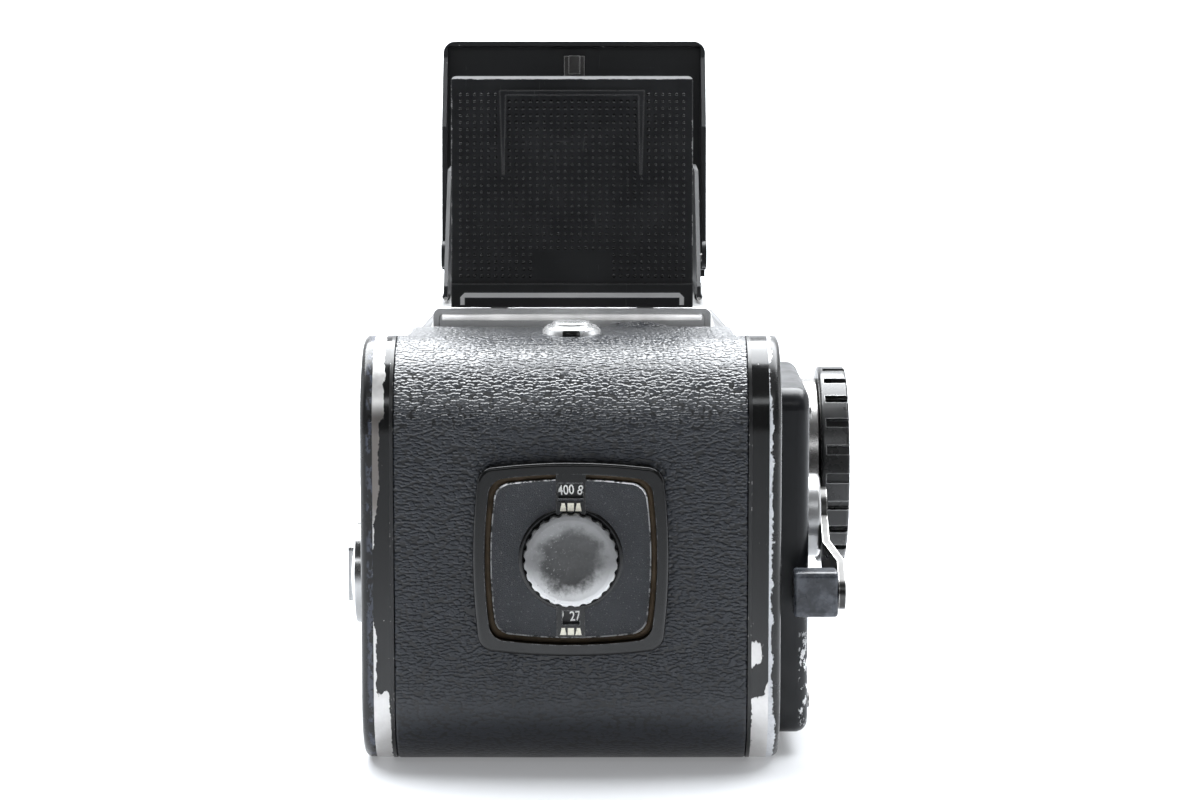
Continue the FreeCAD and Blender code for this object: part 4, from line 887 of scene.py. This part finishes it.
def bowed_square(half, bulge, corner=4.0, steps=8):
    """A square whose sides bow out by bulge, with rounded corners, as (x, z) points about its centre."""
    flat = half - bulge
    run = flat - corner
    points = []
    for quarter in range(4):
        turn = Matrix.Rotation(math.radians(90 * quarter), 2)
        for step in range(steps):
            share = -1 + 2 * step / steps
            points.append(turn @ Vector((flat + bulge * (1 - share * share), share * run)))
        for step in range(steps):
            angle = math.radians(90 * step / steps)
            points.append(turn @ Vector((run + corner * math.cos(angle), run + corner * math.sin(angle))))
    return [(point.x, point.y) for point in points]


# ---- small fittings ----
SHOULDER_HALF = 32.6
SHOULDER_DROP = 1.12
RAIL_HALF = 30.2
LEATHER_INSET = 2.5
SEAM_HALF = 1.5


def button_collar():
    """The chrome collar round the magazine's release button, with a small dark notch behind."""
    place = Matrix.Translation((0, BUTTON_Y, MAG_TOP))
    profile = [(4.75, -1.0), (4.75, 1.5), (5.0, 1.75), (5.6, 1.7), (6.6, 0.7), (6.7, -0.6), (6.7, -1.0)]
    build("button_collar", *lathe(profile, place, 64, ends=False), "button_chrome", "magazine")
    behind = facing((0, 1, 0), (-1, 0, 0), (0, BUTTON_Y + 6.3, MAG_TOP + 0.35))
    notch = slab(rounded_rectangle(2.0, 0.75, 0.4), -1.2, 0.7, behind)
    build("button_notch", *notch, "dial_gloss", "magazine")


def rail_rim():
    """The rounded upper rim of the low wall behind the finder."""
    high = corners("top_cover")[1]
    profile = [(-0.6, 0.0), (-0.6, -1.0), (0.0, -1.35), (0.4, -1.15), (0.55, -0.7), (0.4, -0.2), (0.0, 0.0)]
    outline = [(high.y + y, high.z + z) for y, z in profile]
    place = facing((1, 0, 0), (0, 1, 0), (0, 0, 0))
    # the rim wears the glowing chrome, a painted reflection
    build("rail_rim", *slab(outline, -RAIL_HALF, RAIL_HALF, place), "rim_chrome", "camera_body")


def side_leather():
    """A thin leather panel on the camera's left side."""
    low, high = corners("left_side_cover")
    middle = (low + high) / 2
    place = facing((1, 0, 0), (0, 1, 0), (high.x, middle.y, middle.z - 3))
    outline = rounded_rectangle((high.y - low.y) / 2 - 4, (high.z - low.z) / 2 - 8, 3.0)
    piece = build("side_leather", *slab(outline, -0.3, 0.7, place), "leather", "camera_body", smooth=False)
    bevelled(piece, 0.3)


def front_leather():
    """Thin leather round the lens, cut away for the lens catch and for the release button."""
    plate_low, plate_high = corners("front_plate")
    mount_low, mount_high = corners("lens_mount_ring")
    lever_low, lever_high = corners("lens_release_lever")
    button_high = corners("release_button")[1]
    shoulder_z = corners("finder_base")[0].z
    lens_z = (mount_low.z + mount_high.z) / 2
    hole = mount_high.z - lens_z + 1.2
    edge = plate_high.x - LEATHER_INSET
    bottom = plate_low.z + 3
    top = plate_high.z - 3
    slope_x = SHOULDER_HALF + (shoulder_z - top) / SHOULDER_DROP - LEATHER_INSET
    slope_z = shoulder_z - SHOULDER_DROP * (plate_high.x - SHOULDER_HALF)
    slope = [(edge, slope_z), (slope_x, top), (SEAM_HALF, top)]
    under_catch = lever_low.z - 4.0
    over_catch = lever_high.z + 1.5
    upper = [(edge, over_catch)] + slope + lens_arc(hole, lens_z, top, over_catch)
    lower = lens_arc(hole, lens_z, under_catch, bottom)
    lower += [(SEAM_HALF, bottom), (edge, bottom), (edge, under_catch)]
    inner = -(button_high.x + 3.0)
    above = button_high.z + 3.0
    right = slope + lens_arc(hole, lens_z, top, bottom)
    right += [(SEAM_HALF, bottom), (inner, bottom), (inner, above), (edge, above)]
    right = [(-x, z) for x, z in right]
    place = facing((0, -1, 0), (1, 0, 0), (0, plate_low.y, 0))
    for name, outline in (("left_upper", upper), ("left_lower", lower), ("right", right)):
        sheet = slab(outline, -0.1, 0.7, place)
        piece = build("front_leather_" + name, *sheet, "leather", "camera_body", smooth=False)
        bevelled(piece, 0.25)


def lens_arc(radius, lens_z, high, low):
    """Points down the +X half of a circle round the lens, between two heights."""
    first = math.acos(max(-1.0, min(0.999, (high - lens_z) / radius)))
    last = math.acos(max(-0.999, min(1.0, (low - lens_z) / radius)))
    angles = [first + (last - first) * step / 20 for step in range(21)]
    return [(radius * math.sin(angle), lens_z + radius * math.cos(angle)) for angle in angles]


def shutter_numbers():
    """Generic shutter speeds round the outer face of the ribbed dial, and the cap in its middle."""
    low, high = corners("speed_dial")
    centre = (low + high) / 2
    centre.x = low.x + 1.0
    speeds = ("1", "2", "4", "8", "15", "30", "60", "125", "250", "500", "1000")
    for number, speed in enumerate(speeds):
        angle = math.radians(360 * number / len(speeds))
        up = Vector((0, -math.sin(angle), math.cos(angle)))
        right = up.cross(Vector((-1, 0, 0)))
        place = facing((-1, 0, 0), right, centre + up * 14.2)
        numerals("shutter_speed_" + speed, speed, 2.9, place, "speed_knob")
    place = facing((-1, 0, 0), (0, -1, 0), centre)
    profile = [(10.8, -0.2), (10.8, 0.35), (10.2, 0.7), (8.8, 0.75), (8.2, 0.45), (0.0, 0.45), (0.0, -0.2)]
    build("speed_dial_cap", *lathe(profile, place, 72), "dark_metal", "speed_knob")


def lens_numbers():
    """Generic distances on the focus ring, stops on the aperture ring, and an index line on the barrel."""
    rings = (
        ("stop", "aperture_ring", "aperture", ("2.8", "4", "5.6", "8", "11", "16", "22"), 1.302, 17),
        ("distance", "focus_ring", "focus", ("1", "1.5", "2", "3", "5", "10"), 1.488, 20),
    )
    for label, node, body, words, size, step in rings:
        low, high = corners(node)
        y = high.y - 0.8 if label == "distance" else low.y + 0.75
        centre = Vector((0, y, (low.z + high.z) / 2))
        radius = (high.z - low.z) / 2 - 0.03
        for number, word in enumerate(words):
            angle = math.radians(step * (number - (len(words) - 1) / 2))
            out = Vector((math.sin(angle), 0, math.cos(angle)))
            right = Vector((math.cos(angle), 0, -math.sin(angle)))
            name = label + "_" + word.replace(".", "p")
            numerals(name, word, size, facing(out, right, centre + out * radius), body)
    high = corners("lens_barrel")[1]
    place = facing((0, 0, 1), (1, 0, 0), (0, high.y - 4.5, high.z - 0.02))
    build("lens_index", *slab(rectangle(0.3, 2.8), -0.1, 0.08, place), "numeral", "lens")


def screen_lines():
    """The focusing screen's engraved cross."""
    low, high = corners("focusing_screen")
    place = Matrix.Translation((0, (low.y + high.y) / 2, high.z))
    bars = []
    for half_x, half_y, top in ((27, 0.08, 0.0435), (0.08, 26, 0.03004)):
        bars.append(slab(rectangle(half_x, half_y), 0.0, top, place))
    build("screen_cross", *merged(bars), "number_disc", "camera_body", smooth=False)


def lid_details():
    """A leather pad on the lid's outer face and ribs pressed into its inside."""
    pivot = joint_place("hood_fold")
    place = leaned(pivot, LID_LEAN)
    outward = place @ facing((0, -1, 0), (1, 0, 0), (0, pivot.y - 15.2, pivot.z + 24.5))
    pad = slab(rounded_rectangle(24.0, 19.0, 4.0), -0.2, 0.5, outward)
    bevelled(build("lid_pad", *pad, "leather", "lid", smooth=False), 0.4, 3)
    inward = place @ facing((0, 1, 0), (-1, 0, 0), (0, pivot.y - 14.0, pivot.z + 25.5))
    ribs = []
    for x in (-24.0, 24.0):
        outline = [(across + x, up) for across, up in rounded_rectangle(1.1, 20.0, 1.0)]
        ribs.append(slab(outline, -0.1, 0.55, inward))
    piece = build("lid_ribs", *merged(ribs), "hood_lid", "lid", smooth=False)
    bevelled(piece, 0.25)


# ---- stage ----
# Lengths here are in metres.
COOL_WHITE = (0.95, 0.975, 1.0)
ROOM_LIGHT = 0.09
SWEEP_HALF = 3.5
SWEEP_FRONT = 3.0
SWEEP_BACK = -1.2
SWEEP_RADIUS = 0.9
SWEEP_STEPS = 12
SUBJECT_MIDDLE = (0, 0, 0.07)
CAMERA_BACK = 0.842
CAMERA_HEIGHT = 0.1851
CAMERA_SIDE = -0.0065
CAMERA_PITCH = 7.35
CAMERA_LENS = 106.4


def floor_paint():
    """Pale floor that glows faintly near the subject, a painted light that lightens the shadow under it, and
    far behind it, so that it fades to white.
    """
    s = Shader()
    y = s.axis("Y")
    tone = s.mix(s.noise(600), (0.53, 0.54, 0.555, 1), (0.55, 0.56, 0.575, 1))
    tone = s.mix(s.span(y, 180.0, 420.0, 0.0, 0.35), tone, grey(0.02))
    far = s.span(y, -350.0, -1100.0, 0.0, 0.45)
    # painted light: the glow near the subject lightens the shadow on the floor under it
    near = s.span(y, 140.0, 260.0, 0.24, 0.02)
    behind_camera = s.span(y, 700.0, 1500.0, 0.0, 0.5)
    glow = s.plus(s.plus(far, near), behind_camera)
    s.material.name = "stage_white"
    return s.finish(tone, 0.6, Emission_Color=(0.97, 0.98, 1.0, 1), Emission_Strength=glow)


def sweep():
    """A floor that curves up into a wall behind the subject."""
    profile = [(SWEEP_FRONT, 0.0), (SWEEP_BACK, 0.0)]
    for step in range(1, SWEEP_STEPS + 1):
        angle = math.radians(90 * step / SWEEP_STEPS)
        back = SWEEP_BACK - SWEEP_RADIUS * math.sin(angle)
        profile.append((back, SWEEP_RADIUS - SWEEP_RADIUS * math.cos(angle)))
    profile.append((SWEEP_BACK - SWEEP_RADIUS, 3.5))
    vertices = [(x, y, z) for y, z in profile for x in (-SWEEP_HALF, SWEEP_HALF)]
    faces = [(2 * k, 2 * k + 1, 2 * k + 3, 2 * k + 2) for k in range(len(profile) - 1)]
    mesh = bpy.data.meshes.new("sweep")
    mesh.from_pydata(vertices, [], faces)
    mesh.polygons.foreach_set("use_smooth", [True] * len(faces))
    mesh.materials.append(floor_paint())
    placed("sweep", mesh)


def area_light(name, at, target, size, radiance):
    data = bpy.data.lights.new(name, "AREA")
    data.shape = "RECTANGLE"
    data.size, data.size_y = size
    data.energy = radiance * math.pi * size[0] * size[1]
    data.color = COOL_WHITE
    light = placed(name, data)
    light.location = at
    light.rotation_euler = (Vector(target) - Vector(at)).to_track_quat("-Z", "Y").to_euler()
    light.visible_camera = False


def stage_lights():
    """A wide softbox above and in front of the lens, a thin one over the camera, and one at each side."""
    area_light("top_softbox", (0.0, -0.56, 1.0), (0, -0.54, 0), (1.7, 1.2), 12.5)
    area_light("front_strip", (0.0, 0.95, 0.72), SUBJECT_MIDDLE, (0.9, 0.14), 3.0)
    area_light("left_softbox", (1.2, -0.1, 0.45), SUBJECT_MIDDLE, (0.8, 0.8), 1.6)
    area_light("right_softbox", (-1.2, -0.1, 0.45), SUBJECT_MIDDLE, (0.8, 0.8), 1.6)


def studio_world():
    """A dim room that the camera itself sees as white."""
    world = bpy.data.worlds.new("studio")
    world.use_nodes = True
    tree = world.node_tree
    background = tree.nodes["Background"]
    background.inputs["Color"].default_value = (0.96, 0.98, 1.0, 1)
    path = tree.nodes.new("ShaderNodeLightPath")
    strength = tree.nodes.new("ShaderNodeMapRange")
    strength.inputs["To Min"].default_value = ROOM_LIGHT
    tree.links.new(path.outputs["Is Camera Ray"], strength.inputs["Value"])
    tree.links.new(strength.outputs["Result"], background.inputs["Strength"])
    bpy.context.scene.world = world
    bpy.context.scene.view_settings.view_transform = "Standard"


def camera():
    """Straight behind the magazine, a little above the hood's middle, looking slightly down."""
    data = bpy.data.cameras.new("camera")
    data.lens = CAMERA_LENS
    data.sensor_width = 36.0
    data.clip_end = 20
    eye = placed("camera", data)
    eye.location = (CAMERA_SIDE, CAMERA_BACK, CAMERA_HEIGHT)
    eye.rotation_euler = (math.radians(90 - CAMERA_PITCH), 0, math.radians(180))
    bpy.context.scene.camera = eye


# ---- everything ----
MATERIALS = {
    "body_enamel": painted(),
    "housing_enamel": housing_paint(),
    "barrel_enamel": painted(0.008, (0.24, 0.36)),
    "leather": leather_skin(),
    "band": band_paint(),
    "cover": cover_paint(),
    "hub_chrome": chrome_plate(0.1, (0.28, 0.36), 0.75, (0.45, 0.60)),
    "clean_chrome": chrome_plate(0.3, (0.14, 0.30), 1.0, (0.28, 0.46)),
    "hood_lid": hood_paint(0.20, (0.42, 0.55), 0.66),
    "hood_panel": hood_paint(0.6, (0.30, 0.42), 0.30, panel=True),
    "hood_dots": gloss_black(0.70, 0.006),
    "satin_chrome": trim_chrome(),
    "rim_chrome": rim_chrome(),
    "latch": worn_steel(0.05, 0.16, (0.3, 0.5)),
    "button_chrome": chrome_plate(0.5, (0.22, 0.34), 0.6),
    "steel": worn_steel(0.16, 0.40, (0.30, 0.5)),
    "arm_steel": worn_steel(0.035, 0.10, (0.25, 0.40)),
    "dark_metal": worn_steel(0.03, 0.07, (0.28, 0.42)),
    "knob": knob_metal(),
    "wrinkle": wrinkle_paint(),
    # dial_gloss and speed_gloss: their grey rims are painted highlight lines on the bezel and the dial's
    # ribs, as well as chips
    "dial_gloss": gloss_black(0.50, 0.004),
    "speed_gloss": gloss_black(0.30, 0.016, (0.24, 0.36), 0.45),
    "rubber": rubber(),
    "boss_metal": worn_steel(0.20, 0.45, (0.24, 0.34)),
    "brass": brass(),
    "glass": glass(),
    "lens_glass": coated_glass(),
    "ground_glass": ground_glass(),
    "mirror": mirror(),
    "spool": plastic(0.02, 0.04),
    "number_disc": plastic(0.010, 0.02),
    "film": plastic(0.05, 0.09, (0.15, 0.3), 0.5),
    "cloth": cloth(),
    "grime": plastic(0.025, 0.11, (0.7, 0.9), 0.42),
    "worn_rim": worn_rim(),
    "numeral": marking((0.88, 0.88, 0.86, 1)),
    "cream": marking((0.88, 0.85, 0.72, 1), 0.3),
}

NODE_LOOKS = {
    "body_enamel": (
        "body_casting", "front_plate", "base_plate", "left_side_cover", "right_side_cover",
        "magazine_frame", "magazine_shell", "mirror_carrier", "screen_frame", "shutter_frame",
    ),
    "housing_enamel": ("winding_side_housing",),
    "barrel_enamel": ("lens_barrel", "front_barrel", "focus_ring"),
    "boss_metal": ("speed_dial_boss",),
    "band": ("magazine_bands",),
    "cover": ("magazine_side_covers",),
    "satin_chrome": ("finder_base", "top_cover"),
    "hub_chrome": ("crank_hub",),
    "button_chrome": ("magazine_button",),
    "latch": ("hood_latch",),
    "clean_chrome": (
        "lens_mount_ring", "magazine_key", "strap_lugs", "release_button", "lens_release_lever",
    ),
    "hood_lid": ("hood_lid", "hood_side_left", "hood_side_right", "magnifier_frame"),
    "hood_panel": ("hood_rear_panel",),
    "steel": (
        "hood_hinge_pins", "mirror_hinge_pin", "dark_slide", "mechanism_plate", "tripod_bush",
        "upper_curtain_roller", "lower_curtain_roller", "pressure_plate", "cover_screws", "aperture_ring",
    ),
    "arm_steel": ("crank_arm",),
    "knob": ("film_dial_knob",),
    "wrinkle": ("film_dial_plate",),
    "dial_gloss": ("film_dial_bezel",),
    "speed_gloss": ("speed_dial",),
    "rubber": ("crank_handle",),
    "brass": ("wind_gear", "shutter_gear"),
    "glass": ("magnifier_lens",),
    "lens_glass": ("lens_elements",),
    "ground_glass": ("focusing_screen",),
    "mirror": ("mirror_glass",),
    "spool": ("supply_spool", "takeup_spool"),
    "number_disc": ("number_disc",),
    "film": ("film_strip",),
    "cloth": ("shutter_curtains",),
    "leather": ("magazine_leather",),
}


def dress_nodes():
    """Names the materials and puts one on each CAD node."""
    for look, material in MATERIALS.items():
        material.name = look
    for look, names in NODE_LOOKS.items():
        for name in names:
            mesh = frame["nodes"][name].data
            mesh.materials.clear()
            mesh.materials.append(MATERIALS[look])


dress_nodes()
magazine_leather()
hood_dots()
film_speed_numbers()
film_dial_details()
button_collar()
rail_rim()
side_leather()
front_leather()
shutter_numbers()
lens_numbers()
screen_lines()
lid_details()
sweep()
stage_lights()
studio_world()
camera()
